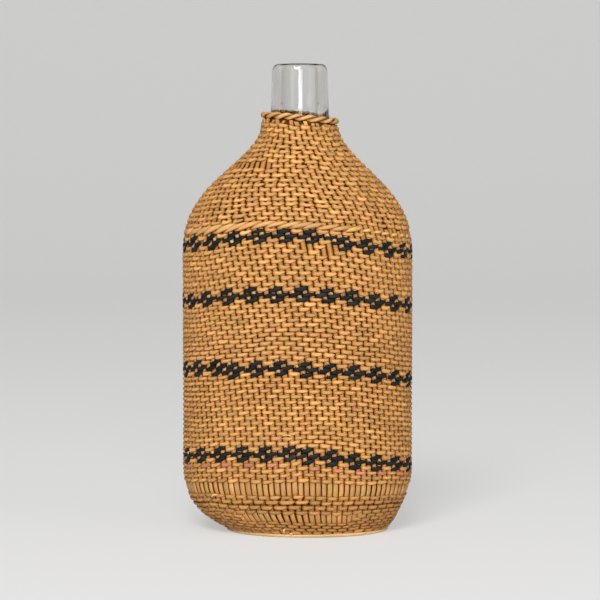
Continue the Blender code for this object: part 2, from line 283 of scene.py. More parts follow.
# Loose strands: angle and height at one end and at the other, how far they stand off, half-width
LOOSE_ENDS = (
    (4.575, 0.0405, 4.668, 0.0404, 0.0009, 0.00028),
    (4.578, 0.0394, 4.664, 0.0395, 0.0004, 0.00024),
    (3.835, 0.0150, 3.925, 0.0166, 0.0010, 0.00050),
    (4.450, 0.0008, 4.510, 0.0034, 0.0008, 0.00045),
    (4.500, 0.0006, 4.555, 0.0016, 0.0006, 0.00040),
)
LOOSE_STATIONS = 9
LOOSE_SIDES = 6
LOOSE_INSET = 0.0003
LOOSE_RISE = 0.8
LOOSE_FLATNESS = 0.6

# The plaited start of the floor: spacing, width, half-thickness and lift of the splints
PLAIT_SPACING = 0.0022
PLAIT_WIDTH = 0.0019
PLAIT_HALF_THICKNESS = 0.0002
PLAIT_LIFT = 0.0006
PLAIT_WAVE = 0.0004
PLAIT_STATIONS = 41

# Glass
GLASS_COLUMNS = 128
GLASS_NECK_RADIUS = 0.0124
GLASS_NECK_FLARE = 0.0006
GLASS_FLARE_HEIGHT = 0.018
GLASS_TOP = RIM_TOP + 0.0224
GLASS_FLOOR = 0.0045
BORE_FLARE = 0.0012
BORE_DROP = 0.0040
LIP_ROUND = 0.0021
LIP_DROP = 0.0042
LIP_INNER_DROP = 0.0020
GLASS_SLANT_RANGE = (0.10, 0.22)

# Finishes of the record's fibre slots: roughness, contrast and relief
FINISHES = {
    "straw_weft": (0.58, 0.42, 0.5),
    "pale_straw_weft": (0.55, 0.36, 0.5),
    "bare_warp": (0.60, 0.5, 0.6),
    "black_weft": (0.66, 0.5, 0.5),
    "black_and_straw_weft": (0.60, 0.42, 0.5),
    "pink_weft": (0.60, 0.4, 0.5),
}
FIBRE_SPECULAR = 0.2
FIBRE_ROUGHNESS_SPAN = 0.22
FIBRE_RELIEF = 0.0003
LINE_STRETCH = (260.0, 2600.0, 1.0)
STAIN_STRETCH = (420.0, 500.0, 1.0)

# The stage: the sweep's half-width, front, back, bend and top, its glow, the world and the lamps,
# each with its name, its setting, its place and its size
SWEEP_HALF_WIDTH = 4.0
SWEEP_BACK = 2.0
SWEEP_BEND = 1.2
SWEEP_GLOW = (0.86, 0.86, 0.85, 1.0)
SWEEP_GLOW_SHARE = 0.5
WORLD_STRENGTH = 0.20
LAMP_TARGET = (0.0, 0.0, 0.1)
LAMPS = (
    ("key_lamp", "key", (-0.35, -1.75, 1.5), (0.9, 0.9)),
    ("fill_lamp", "fill", (1.6, -1.3, 0.7), (1.0, 1.4)),
    ("front_lamp", "front", (0.12, -1.9, 0.5), (0.5, 1.1)),
)


# The cover's outside

def smooth_step(value):
    """0 below 0, 1 above 1, and three v squared less two v cubed between."""
    v = np.clip(value, 0.0, 1.0)
    return v * v * (3.0 - 2.0 * v)


def round_angles(count):
    """Angles evenly round a circle."""
    return np.arange(count) * FULL_TURN / count


def half_width(height):
    """Half the cover's width: a flat floor below height 0, the heel's curve, then the shoulder's."""
    h = np.asarray(height, dtype=float)
    heel = np.clip(h / HEEL_RISE, 0.0, 1.0)
    heel_share = (1.0 - (1.0 - heel) ** 2) ** HEEL_FULLNESS
    body = FLOOR_HALF_WIDTH + (BODY_HALF_WIDTH - FLOOR_HALF_WIDTH) * heel_share
    shoulder = np.clip((h - SHOULDER_BASE) / SHOULDER_HEIGHT, 0.0, 1.0)
    shoulder_share = (1.0 + np.cos(math.pi * shoulder ** SHOULDER_FULLNESS)) / 2.0
    upper = COLLAR_RADIUS + (body - COLLAR_RADIUS) * shoulder_share
    return np.where(h < 0.0, FLOOR_HALF_WIDTH + h, upper)


def depth_for_width(width):
    """Half the depth of the oval whose half-width is given, a circle at the neck."""
    slope = (BODY_HALF_DEPTH - COLLAR_RADIUS) / (BODY_HALF_WIDTH - COLLAR_RADIUS)
    return COLLAR_RADIUS + (width - COLLAR_RADIUS) * slope


def half_depth(height):
    """Half the cover's depth; on the floor the ovals shrink in proportion towards the middle."""
    h = np.asarray(height, dtype=float)
    width = half_width(h)
    floor_depth = depth_for_width(FLOOR_HALF_WIDTH) * width / FLOOR_HALF_WIDTH
    return np.where(h < 0.0, floor_depth, depth_for_width(width))


def section_centre(height):
    """X of the oval's middle: the floor and the neck stand a little to the right."""
    h = np.asarray(height, dtype=float)
    low = np.clip(1.0 - np.maximum(h, 0.0) / HEEL_SHIFT_HEIGHT, 0.0, 1.0) ** 2
    high = smooth_step(2.0 * (h - SHOULDER_BASE) / SHOULDER_HEIGHT - 1.0)
    return HEEL_SHIFT * low + NECK_SHIFT * high


def surface(theta, height):
    """The outside at a height: an oval of half-width times cosine and half-depth times sine."""
    h = np.asarray(height, dtype=float) + 0.0 * theta
    x = section_centre(h) + half_width(h) * np.cos(theta)
    y = half_depth(h) * np.sin(theta)
    return np.stack([x, y, np.maximum(h, 0.0)], axis=-1)


def inset_surface(theta, height, inset):
    """The outside moved inwards along its normal, which is the cross product of its two slopes."""
    h = np.asarray(height, dtype=float) + 0.0 * theta
    small = 1e-5
    step = np.where(h < 0.0, -small, small)
    round_way = surface(theta + small, h) - surface(theta - small, h)
    up_way = (surface(theta, h + step) - surface(theta, h)) * np.sign(step)[..., None]
    normal = np.cross(round_way, up_way)
    normal /= np.linalg.norm(normal, axis=-1, keepdims=True)
    depth = np.asarray(inset, dtype=float) + 0.0 * theta
    return surface(theta, h) - normal * depth[..., None]


def course_height(theta, height):
    """Height of a row at an angle: plus an arch of sine squared, less a tilt of cosine."""
    h = np.asarray(height, dtype=float)
    share = np.clip(h / ARCH_RISE, 0.0, 1.0)
    fade = 1.0 - smooth_step((h - SHOULDER_BASE) / SHOULDER_HEIGHT)
    return h + ROW_ARCH * share * fade * np.sin(theta) ** 2 - ROW_TILT * share * np.cos(theta)


def on_rows(theta, height, inset):
    """A point at a place on the rows: the height of a row there, moved inwards."""
    return inset_surface(theta, course_height(theta, height), inset)


def round_speed(theta, height):
    """Metres along a row for each radian, from a small step to either side."""
    small = 1e-4
    ahead = surface(theta + small, course_height(theta + small, height))
    behind = surface(theta - small, course_height(theta - small, height))
    return np.linalg.norm(ahead - behind, axis=-1) / (2.0 * small)


def lengths_round(height):
    """Angles round the bottle from the seam, and the length along a row up to each of them."""
    theta = np.linspace(SEAM, SEAM + FULL_TURN, 1441)
    lengths = np.concatenate([[0.0], np.cumsum(round_speed(theta, height)[1:])]) * (theta[1] - theta[0])
    return theta, lengths


# Rows and warps

class RowTable:
    """Rows of stitches from the floor's middle up: middle height, spacing and first of each course."""

    def __init__(self):
        centres = []
        pitches = []
        self.first = {}
        low = FLOOR_LOW
        for name, height, rows in COURSES:
            self.first[name] = len(centres)
            centres += [low + (j + 0.5) * height / rows for j in range(rows)]
            pitches += [height / max(rows, 1)] * rows
            low += height
        self.centre = np.array(centres)
        self.pitch = np.array(pitches)
        self.count = len(centres)

    def height(self, row, turn):
        """Height on the spiral: a row's middle, plus its spacing times the turn less one half."""
        return self.centre[row] + self.pitch[row] * (turn - 0.5)

    def row_at(self, spiral):
        """Number of the row at a place on the spiral."""
        return np.clip(np.floor(spiral).astype(int), 0, self.count - 1)


def turn_of(theta):
    """Share of a turn from the seam at the back."""
    return (theta - SEAM) / FULL_TURN


def angle_of(spiral):
    """Angle round the bottle at a place on the spiral, counted in turns."""
    return SEAM + FULL_TURN * spiral


def row_point(table, row, theta):
    """A point on the cover's outside, on the middle of a row."""
    return surface(theta, course_height(theta, table.height(row, turn_of(theta))))


def even_up(theta, table, row, rounds):
    """Move each warp towards the middle of its two neighbours, measured along the row."""
    for i in range(rounds):
        ahead = np.append(theta[1:], theta[0] + FULL_TURN)
        behind = np.insert(theta[:-1], 0, theta[-1] - FULL_TURN)
        speed_ahead = round_speed((ahead + theta) / 2.0, table.centre[row])
        speed_behind = round_speed((behind + theta) / 2.0, table.centre[row])
        gap_ahead = (ahead - theta) * speed_ahead
        gap_behind = (theta - behind) * speed_behind
        theta = theta + EVENING * (gap_ahead - gap_behind) / (speed_ahead + speed_behind)
    return theta


def wanted_warps(table, row, spacing):
    """Odd number of warps that a row has room for: its length over the spacing."""
    theta = np.linspace(0.0, FULL_TURN, 721)
    points = surface(theta, course_height(theta, table.centre[row]))
    length = np.linalg.norm(np.diff(points, axis=0), axis=1).sum()
    return 2 * int(round((length / spacing - 1.0) / 2.0)) + 1


def follow_warps(table, warps, seed):
    """Angles of the warps on every row, and each warp's number.

    A warp goes on to the next row at a right angle, plus the lean, and is then evened up between its
    neighbours. Where a row is too short for them, two near warps end, but never in an open course.
    """
    rng = np.random.default_rng(seed)
    middle = table.first["wall_weave_3"] + START_ROW
    fine, along = lengths_round(table.centre[middle])
    place = (np.arange(warps) + 0.5 + rng.uniform(-START_SPREAD, START_SPREAD, warps)) / warps
    start = np.interp(place * along[-1], along, fine)
    angles = {middle: start}
    numbers = {middle: np.arange(warps)}
    small = 1e-4
    for way, last in ((1, table.count), (-1, -1)):
        theta = start
        number = np.arange(warps)
        for row in range(middle + way, last, way):
            before = row_point(table, row - way, theta)
            here = row_point(table, row, theta)
            side = row_point(table, row, theta + small) - here
            square = ((before - here) * side).sum(-1) / (side * side).sum(-1)
            theta = theta + SQUARENESS * small * square
            height = table.centre[row]
            climb = np.linalg.norm(row_point(table, row, theta) - before, axis=-1)
            theta = theta - way * np.interp(height, *WARP_LEAN) * climb / round_speed(theta, height)
            theta = even_up(theta, table, row, 6)
            wanted = wanted_warps(table, row, np.interp(height, *WARP_SPACING))
            bare = abs(height - table.centre[row - way]) > OPEN_STEP
            while len(theta) - wanted >= 2 and not bare:
                gap = np.diff(np.append(theta, theta[0] + FULL_TURN)) * round_speed(theta, height)
                local = sum(np.roll(gap, shift) for shift in range(-3, 3))
                tight = int(np.argmin(local + rng.uniform(0.0, 0.0004, len(gap))))
                ending = [tight % len(theta), (tight + 3) % len(theta)]
                theta = np.delete(theta, ending)
                number = np.delete(number, ending)
                theta = even_up(theta, table, row, 5)
            angles[row] = theta
            numbers[row] = number
    return angles, numbers


def course_starts(table):
    """Places on the spiral where the courses start, the bands' own places along a turn included."""
    starts = []
    for name, height, rows in COURSES:
        band = BAND_NEAR.get(name, "".join(filter(str.isdigit, name)))
        if rows:
            starts.append((name, table.first[name] + BAND_TURNS.get(band, 0.0)))
    return starts


def lay_stitches(angles):
    """Start and end of each stitch on the spiral: every second gap between warps, in order."""
    crossings = np.sort(np.concatenate([row + turn_of(theta) for row, theta in angles.items()]))
    gaps = (crossings[:-1] + crossings[1:]) / 2.0
    count = (len(gaps) - 1) // 2
    return gaps[0:2 * count:2], gaps[2:2 * count + 2:2]


def wander(theta, height):
    """Slow rise and fall of the rows.

    It is a sum of three sines of the angle and the height, plus a bell exp(-a^2 - h^2) at each nudge,
    where a and h are the distances from it over its spreads.
    """
    slow = np.sin(3.0 * theta + 2.1 + 40.0 * height)
    middling = 0.6 * np.sin(7.0 * theta + 1.3 - 90.0 * height)
    quick = 0.4 * np.sin(13.0 * theta + 150.0 * height)
    total = ROW_WANDER * (slow + middling + quick)
    for angle, before, after, level, spread, rise in ROW_NUDGES:
        away = (theta - angle + math.pi) % FULL_TURN - math.pi
        across = away / np.where(away < 0.0, before, after)
        total = total + rise * np.exp(-across ** 2 - ((height - level) / spread) ** 2)
    return total


# Meshes and pieces

def build_mesh(name, points, quads, caps, attributes):
    """A mesh from arrays of points, four-sided faces and end caps, with its point attributes."""
    mesh = bpy.data.meshes.new(name)
    corners = np.concatenate([quads.ravel(), caps.ravel()]).astype(np.int32)
    sizes = np.concatenate([np.full(len(quads), 4), np.full(len(caps), caps.shape[1])])
    starts = np.concatenate([[0], np.cumsum(sizes)[:-1]]).astype(np.int32)
    mesh.vertices.add(len(points))
    mesh.vertices.foreach_set("co", points.astype(np.float32).ravel())
    mesh.loops.add(len(corners))
    mesh.loops.foreach_set("vertex_index", corners)
    mesh.polygons.add(len(sizes))
    mesh.polygons.foreach_set("loop_start", starts)
    mesh.update(calc_edges=True)
    mesh.validate()
    if attributes:
        # The colour attribute holds each strand's own colour with its painted shade multiplied in
        dye = mesh.color_attributes.new("dye", "FLOAT_COLOR", "POINT")
        dye.data.foreach_set("color", attributes["dye"].astype(np.float32).ravel())
        place = mesh.attributes.new("place", "FLOAT_VECTOR", "POINT")
        place.data.foreach_set("vector", attributes["place"].astype(np.float32).ravel())
    mesh.shade_smooth()
    return mesh


def tube_faces(tubes, stations, sides, closed=False):
    """Faces of many tubes, each a grid of stations by sides: closed rings, or capped on both ends."""
    tube = np.arange(tubes)[:, None, None] * stations * sides
    station = np.arange(stations if closed else stations - 1)[:, None]
    side = np.arange(sides)
    after = (side + 1) % sides
    low = tube + station * sides
    high = tube + (station + 1) % stations * sides
    quads = np.stack([low + side, low + after, high + after, high + side], axis=-1).reshape(-1, 4)
    if closed:
        return quads[:, ::-1], np.zeros((0, 4), dtype=int)
    starts = tube[:, :, 0] + side[::-1]
    ends = tube[:, :, 0] + (stations - 1) * sides + side
    return quads, np.concatenate([starts, ends])


def loft_mesh(name, loops):
    """A closed body: loops of points joined in turn, with a cap on the first and last."""
    grid = np.stack(loops)
    return build_mesh(name, grid.reshape(-1, 3), *tube_faces(1, *grid.shape[:2]), {})


def add_piece(name, mesh, material, slot, *nodes):
    """Link a finished mesh, ride it on the one body and hide the CAD nodes it stands for."""
    mesh.materials.append(material)
    obj = bpy.data.objects.new(name, mesh)
    bpy.context.scene.collection.objects.link(obj)
    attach(obj, "root")
    if nodes:
        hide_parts(*nodes)
    return obj


def strand_attributes(colours, along, across, number):
    """Attributes of strands: their colours with any painted shade, and their places along, across and
    between strands.
    """
    place = np.stack(np.broadcast_arrays(along, across, number), axis=-1)
    dye = np.ones(place.shape[:-1] + (4,))
    dye[..., :3] = colours
    return {"dye": dye.reshape(-1, 4), "place": place.reshape(-1, 3)}


def fibre_piece(name, points, faces, attributes, slot, *nodes):
    """Add a piece of strands, in the finish of its slot."""
    mesh = build_mesh(name, points.reshape(-1, 3), *faces, attributes)
    return add_piece(name, mesh, finish_for(slot), slot, *nodes)


# Colours

def vary_colours(colour, count, rng, spread, hue):
    """Colours about one colour: a lightness of exp(spread times normal), and a small push of hue."""
    light = np.exp(rng.normal(0.0, spread, (count, 1)))
    push = 1.0 + rng.normal(0.0, hue, (count, 3))
    return np.clip(np.array(colour)[None, :3] * light * push, 0.004, 0.95)


def browned(share, powers):
    """A shade for red, green and blue: a share to the power of each channel."""
    return share[..., None] ** np.array(powers)


def painted_crevice_shade(u, depth):
    """Painted shade in the crevices, darker and browner towards a strand's ends: one less depth times u
    to the sixth, by channel.
    """
    return browned(1.0 - depth * np.abs(u) ** 6, (1.0, 1.5, 3.0))


def painted_foot_shade(height):
    """Painted shade towards the foot, darker and browner: one less a share that fades over the lowest
    part, by channel.
    """
    return browned(1.0 - FOOT_SHADE * (1.0 - smooth_step(height / FOOT_HEIGHT)), (1.0, 1.15, 1.5))


def stitch_colours(name, index, weave, palette, rng):
    """Colour of each stitch of a course, black and straw or pink and straw in turn where dyed."""
    count = len(index)
    colours = vary_colours(palette.straw, count, rng, weave.tone_spread, 0.010)
    for tint in TINTS:
        colours[rng.random(count) < TINTED_SHARE] *= np.array(tint)
    black = vary_colours(palette.black, count, rng, 0.35, 0.14)
    odd = (index % 2 == 1)[:, None]
    if name.endswith("middle_row"):
        return black
    if name.endswith("lower_row"):
        return np.where(odd, colours, black)
    if name.endswith("upper_row"):
        return np.where(odd, black, colours)
    if name == "pink_row":
        return np.where(odd, vary_colours(palette.pink, count, rng, 0.12, 0.06), colours)
    if name == "base_edge_row":
        return vary_colours(palette.pale_straw, count, rng, weave.tone_spread, 0.03)
    return colours


def slot_for(name):
    """Name of the record's finish for a course."""
    if name.endswith("middle_row"):
        return "black_weft"
    if name.startswith("band_"):
        return "black_and_straw_weft"
    return {"pink_row": "pink_weft", "base_edge_row": "pale_straw_weft"}.get(name, "straw_weft")


# Materials

def make_node(tree, kind, inputs, **settings):
    """Add a shader node with its settings and the values of its inputs."""
    node = tree.nodes.new("ShaderNode" + kind)
    for key, value in settings.items():
        setattr(node, key, value)
    for key, value in inputs.items():
        node.inputs[key].default_value = value
    return node


def link_all(tree, *links):
    """Link nodes: each link is a node, its output, the next node and its input."""
    for source, output, target, socket in links:
        tree.links.new(source.outputs[output], target.inputs[socket])


def new_material(name, values):
    """A material with values for its main shader; with its node tree and that shader."""
    material = bpy.data.materials.new(name)
    material.use_nodes = True
    shader = material.node_tree.nodes["Principled BSDF"]
    for key, value in values.items():
        shader.inputs[key].default_value = value
    return material, material.node_tree, shader


def fibre_group():
    """Split plant fibre: fine lines along the strand that vary its colour, gloss and height.

    The colour is the strand's dye and painted shade times one plus the contrast times the sum of the
    two noises less one.
    """
    title = "Split Fibre"
    if title in bpy.data.node_groups:
        return bpy.data.node_groups[title]
    group = bpy.data.node_groups.new(title, "ShaderNodeTree")
    sockets = (
        ("Place", "INPUT", "Vector"), ("Dye", "INPUT", "Color"), ("Contrast", "INPUT", "Float"),
        ("Roughness", "INPUT", "Float"), ("Color", "OUTPUT", "Color"),
        ("Roughness", "OUTPUT", "Float"), ("Height", "OUTPUT", "Float"),
    )
    for name, way, kind in sockets:
        group.interface.new_socket(name=name, in_out=way, socket_type="NodeSocket" + kind)
    entry = group.nodes.new("NodeGroupInput")
    leave = group.nodes.new("NodeGroupOutput")
    fine_place = make_node(group, "VectorMath", {1: LINE_STRETCH}, operation="MULTIPLY")
    lines = make_node(group, "TexNoise", {"Scale": 1.0, "Detail": 3.0, "Roughness": 0.6})
    broad_place = make_node(group, "VectorMath", {1: STAIN_STRETCH}, operation="MULTIPLY")
    stains = make_node(group, "TexNoise", {"Scale": 1.0, "Detail": 2.0})
    both = make_node(group, "Math", {}, operation="ADD")
    centred = make_node(group, "Math", {1: 1.0}, operation="SUBTRACT")
    amount = make_node(group, "Math", {}, operation="MULTIPLY")
    level = make_node(group, "Math", {1: 1.0}, operation="ADD")
    shade = make_node(group, "VectorMath", {}, operation="SCALE")
    gloss = make_node(group, "Math", {1: FIBRE_ROUGHNESS_SPAN}, operation="MULTIPLY_ADD")
    link_all(
        group,
        (entry, "Place", fine_place, 0),
        (entry, "Place", broad_place, 0),
        (fine_place, 0, lines, "Vector"),
        (broad_place, 0, stains, "Vector"),
        (lines, "Fac", both, 0),
        (stains, "Fac", both, 1),
        (both, 0, centred, 0),
        (centred, 0, amount, 0),
        (entry, "Contrast", amount, 1),
        (amount, 0, level, 0),
        (entry, "Dye", shade, 0),
        (level, 0, shade, "Scale"),
        (shade, 0, leave, "Color"),
        (lines, "Fac", gloss, 0),
        (entry, "Roughness", gloss, 2),
        (gloss, 0, leave, "Roughness"),
        (lines, "Fac", leave, "Height"),
    )
    return group


def finish_for(slot):
    """A fibre slot's material: the strand's own dye and painted shade, with the split fibre group over
    it.
    """
    name = slot + "_fibre"
    if name in bpy.data.materials:
        return bpy.data.materials[name]
    roughness, contrast, bump = FINISHES[slot]
    material, tree, shader = new_material(name, {"Specular IOR Level": FIBRE_SPECULAR})
    dye = make_node(tree, "Attribute", {}, attribute_name="dye")
    place = make_node(tree, "Attribute", {}, attribute_name="place")
    values = {"Contrast": contrast, "Roughness": roughness - FIBRE_ROUGHNESS_SPAN / 2.0}
    fibre = make_node(tree, "Group", values, node_tree=fibre_group())
    relief = make_node(tree, "Bump", {"Strength": bump, "Distance": FIBRE_RELIEF})
    link_all(
        tree,
        (dye, "Color", fibre, "Dye"),
        (place, "Vector", fibre, "Place"),
        (fibre, "Color", shader, "Base Color"),
        (fibre, "Roughness", shader, "Roughness"),
        (fibre, "Height", relief, "Height"),
        (relief, "Normal", shader, "Normal"),
    )
    return material


# Settings

def share_property(name, description, default, low, high):
    """A share or factor that a user may change."""
    return bpy.props.FloatProperty(
        name=name, description=description, default=default, min=low, max=high)


def length_property(name, description, default, low, high):
    """A length in metres that a user may change."""
    return bpy.props.FloatProperty(
        name=name, description=description, default=default, min=low, max=high,
        unit="LENGTH", precision=5)


def power_property(name, description, default):
    """A lamp's power that a user may change."""
    return bpy.props.FloatProperty(
        name=name, description=description, default=default, min=0.0, subtype="POWER")


def colour_property(name, description, default):
    """A colour that a user may change, as linear red, green and blue."""
    return bpy.props.FloatVectorProperty(
        name=name, description=description, default=default, size=3, min=0.0, max=1.0, subtype="COLOR")


class WeaveSettings(bpy.types.PropertyGroup):
    """Sizes of the strands that a maker would change."""

    warps: bpy.props.IntProperty(
        name="Warps", description="Warps round the wall, an odd number", default=97, min=41, max=201)
    overlap: share_property("Overlap", "How far a stitch runs on, as a share", 0.03, -0.1, 0.3)
    slant: share_property("Slant", "Climb of a half stitch over the row spacing", 0.10, 0.0, 0.5)
    fullness: share_property("Fullness", "A stitch's half-height over the row spacing", 0.43, 0.2, 0.6)
    hook: share_property("Hook", "How far the left ends of the stitches stand up", 1.0, 0.0, 1.5)
    half_thickness: length_property(
        "Half Thickness", "Half a weft strand's thickness", 0.00058, 0.0002, 0.001)
    dive: length_property("Dive", "How deep a stitch's ends go behind the warps", 0.0010, 0.0, 0.002)
    warp_width: length_property("Warp Width", "Width of a warp on the wall", 0.00215, 0.001, 0.0025)
    warp_thickness: length_property("Warp Thickness", "Thickness of a warp", 0.00055, 0.0002, 0.001)
    tone_spread: share_property("Tone Spread", "How much stitches differ in lightness", 0.11, 0.0, 0.5)
    seed: bpy.props.IntProperty(
        name="Seed", description="Start of the random differences between strands", default=7, min=0)


class PaletteSettings(bpy.types.PropertyGroup):
    """Colours of the strands, the glass and the floor."""

    straw: colour_property("Straw", "Plain weft strands", (0.624, 0.328, 0.119))
    pale_straw: colour_property("Pale Straw", "Ridge, rim and base edge", (0.66, 0.37, 0.145))
    warp: colour_property("Warp", "Warp splints", (0.58, 0.295, 0.100))
    black: colour_property("Black", "Dyed black strands", (0.010, 0.010, 0.011))
    pink: colour_property("Pink", "Faded pink strands", (0.56, 0.215, 0.135))
    band_warp: colour_property("Band Warps", "Warps that show in the bands", (0.40, 0.25, 0.115))
    edge: colour_property("Edge", "Strand round the floor's edge, and loose ends", (0.76, 0.47, 0.20))
    # The lining's colour is painted shade: the strands behind the warps, darkened for the shadow they
    # lie in
    lining: colour_property("Lining", "Strands behind the warps, in shade", (0.105, 0.034, 0.005))
    glass_edge: colour_property("Glass Edge", "Glass looked through at a slant", (0.82, 0.79, 0.76))
    glass: colour_property("Glass", "Tint of the clear glass", (0.95, 0.95, 0.94))
    floor: colour_property("Floor", "Floor and backdrop", (0.80, 0.80, 0.80))


class GlassSettings(bpy.types.PropertyGroup):
    """Sizes of the flask that a maker would change."""

    wall: length_property("Wall", "Thickness of the glass", 0.0030, 0.001, 0.005)
    bore_radius: length_property("Bore Radius", "Radius of the neck's bore", 0.0082, 0.003, 0.009)


class StageSettings(bpy.types.PropertyGroup):
    """Camera and lamps."""

    distance: length_property("Distance", "From the bottle's middle to the camera", 1.07, 0.3, 5.0)
    eye_height: length_property("Eye Height", "Height of the camera", 0.165, 0.0, 2.0)
    aim_x: length_property("Aim X", "Side place that the camera looks at", 0.0011, -1.0, 1.0)
    aim_z: length_property("Aim Z", "Height that the camera looks at", 0.103, 0.0, 1.0)
    field: bpy.props.FloatProperty(
        name="Field", description="Angle of view", default=math.radians(14.26), subtype="ANGLE")
    key: power_property("Key", "Power of the large lamp at the upper left", 38.5)
    fill: power_property("Fill", "Power of the lamp at the right", 7.0)
    front: power_property("Front", "Power of the tall lamp behind the camera", 12.0)


# Stitches

def end_form(u, form):
    """How far a stitch's end has changed at a place along it: its height times a smooth step of u."""
    height, begin, run = form
    return height * smooth_step((u - begin) / run)


def stitch_points(table, start, end, swell, weave, rng, lift):
    """Points of the stitches, and their places along, across and from strand to strand.

    Along a stitch u runs from -1 to 1. Its upper edge stands up at the left end and its lower edge
    rises at the right one, each by a smooth step of u. It lies on the outside of the cover, and near
    its ends it dives by a power of the rest. A dyed stitch has blunt ends, and its upper left and
    lower right corners are cut back, so the warps show there. Its section is a flat oval: half-height
    times cosine up the wall, half-thickness times sine outwards.
    """
    shape = (len(start), 1, 1)
    middle = ((start + end) / 2.0)[:, None, None]
    half = ((end - start) / 2.0)[:, None, None]
    row = table.row_at(middle)
    centre = table.centre[row]
    pitch = table.pitch[row]
    u = STITCH_STATIONS[None, :, None]
    around = round_angles(STITCH_SIDES)
    reach = 1.0 + weave.overlap + rng.uniform(-REACH_SPREAD, REACH_SPREAD, shape)
    spiral = middle + half * reach * u
    theta = angle_of(spiral)
    slant = weave.slant * rng.uniform(*SLANT_RANGE, shape)
    full = weave.fullness * np.interp(centre, *FULL_SHARE) * rng.uniform(*FULLNESS_RANGE, shape)
    full = full * swell[:, None, None]
    hook = weave.hook * np.interp(centre, *HOOK_SHARE) * rng.uniform(*HOOK_RANGE, shape)
    blunt = (swell > 1.0)[:, None, None]
    upper = full * np.where(blunt, 1.0 - end_form(-u, CUT_FORM), 1.0 + hook * end_form(-u, HOOK_FORM))
    lower = full * np.where(blunt, 1.0 - end_form(u, CUT_FORM), 1.0 - hook * end_form(u, THIN_FORM))
    tapers = [share * np.abs(u) ** power for share, power in (BLUNT_TAPER, POINTED_TAPER)]
    taper = np.sqrt(1.0 - np.where(blunt, *tapers))
    across = (upper + lower) / 2.0 * taper * np.cos(around)
    rise = slant * u + (upper - lower) / 2.0 + rng.uniform(-RISE_SPREAD, RISE_SPREAD, shape)
    height = table.height(row, spiral - row) + pitch * (rise + across) + wander(theta, centre) + lift
    thick = weave.half_thickness * rng.uniform(*THICKNESS_RANGE, shape)
    plateau = np.where(u < 0.0, *DIVE_STARTS)
    dive = weave.dive * np.clip((np.abs(u) - plateau) / (1.0 - plateau), 0.0, 1.0) ** DIVE_POWER
    sunk = rng.uniform(0.0, SINKING, shape)
    inset = thick + sunk + dive - thick / math.cos(math.pi / STITCH_SIDES) * np.sin(around)
    number = rng.uniform(0.0, PATTERN_RANGE, shape)
    return on_rows(theta, height, inset), (half * u * FULL_TURN * MEAN_RADIUS, pitch * across, number)


def stitch_piece(name, slot, table, course, colours, weave, rng, nodes=(), lift=0.0):
    """One piece of stitches, with painted shade: browner towards the foot, and darker at their ends and
    edges.
    """
    start, end, height, swell = course
    points, place = stitch_points(table, start, end, swell, weave, rng, lift)
    end_shade, edge_shade = STITCH_SHADES
    # Painted shade: browner towards the foot, and darker at each stitch's ends and at its edges
    dye = colours[:, None, None, :] * painted_foot_shade(height)[:, None, None, :]
    dye = dye * painted_crevice_shade(STITCH_STATIONS[:, None], end_shade)
    dye = dye * painted_crevice_shade(np.abs(np.cos(round_angles(STITCH_SIDES))), edge_shade)
    faces = tube_faces(len(start), len(STITCH_STATIONS), STITCH_SIDES)
    fibre_piece(name, points, faces, strand_attributes(dye, *place), slot, *nodes)


def band_warp_points(table, start, end, rng):
    """Short flat stretches of the warps that show above the left ends of the dyed stitches.

    Each is a closed tube up the wall, with an oval section: half-width times cosine round the wall,
    half-thickness times sine outwards.
    """
    shape = (len(start), 1, 1)
    row = table.row_at(((start + end) / 2.0)[:, None, None])
    centre = table.centre[row]
    spiral = (start + BAND_WARP_PLACE * (end - start))[:, None, None]
    level = np.array([-1.0, -0.7, 0.7, 1.0])[:, None]
    narrow = np.array([0.6, 1.0, 1.0, 0.6])[:, None]
    around = round_angles(STITCH_SIDES)
    tall = BAND_WARP_HALF_HEIGHT * rng.uniform(0.8, 1.15, shape)
    wide = BAND_WARP_HALF_WIDTH * rng.uniform(0.85, 1.1, shape) * narrow * np.cos(around)
    theta = angle_of(spiral) + rng.uniform(-0.004, 0.004, shape)
    height = table.height(row, spiral - row) + 0.5 * table.pitch[row] + wander(theta, centre)
    height = height + tall * level
    side = theta + (wide - BAND_WARP_LEAN * level) / round_speed(theta, centre)
    inset = BAND_WARP_INSET - BAND_WARP_HALF_THICKNESS * np.sin(around) * narrow
    number = rng.uniform(0.0, PATTERN_RANGE, shape)
    return on_rows(side, height, inset), (height, wide, number)


class BottleOperator:
    """What every operator here shares: the settings, and that it is one undo step."""

    bl_options = {"REGISTER", "UNDO"}

    def settings(self, context):
        """The weave and palette settings of the scene."""
        return context.scene.twined_weave, context.scene.twined_palette


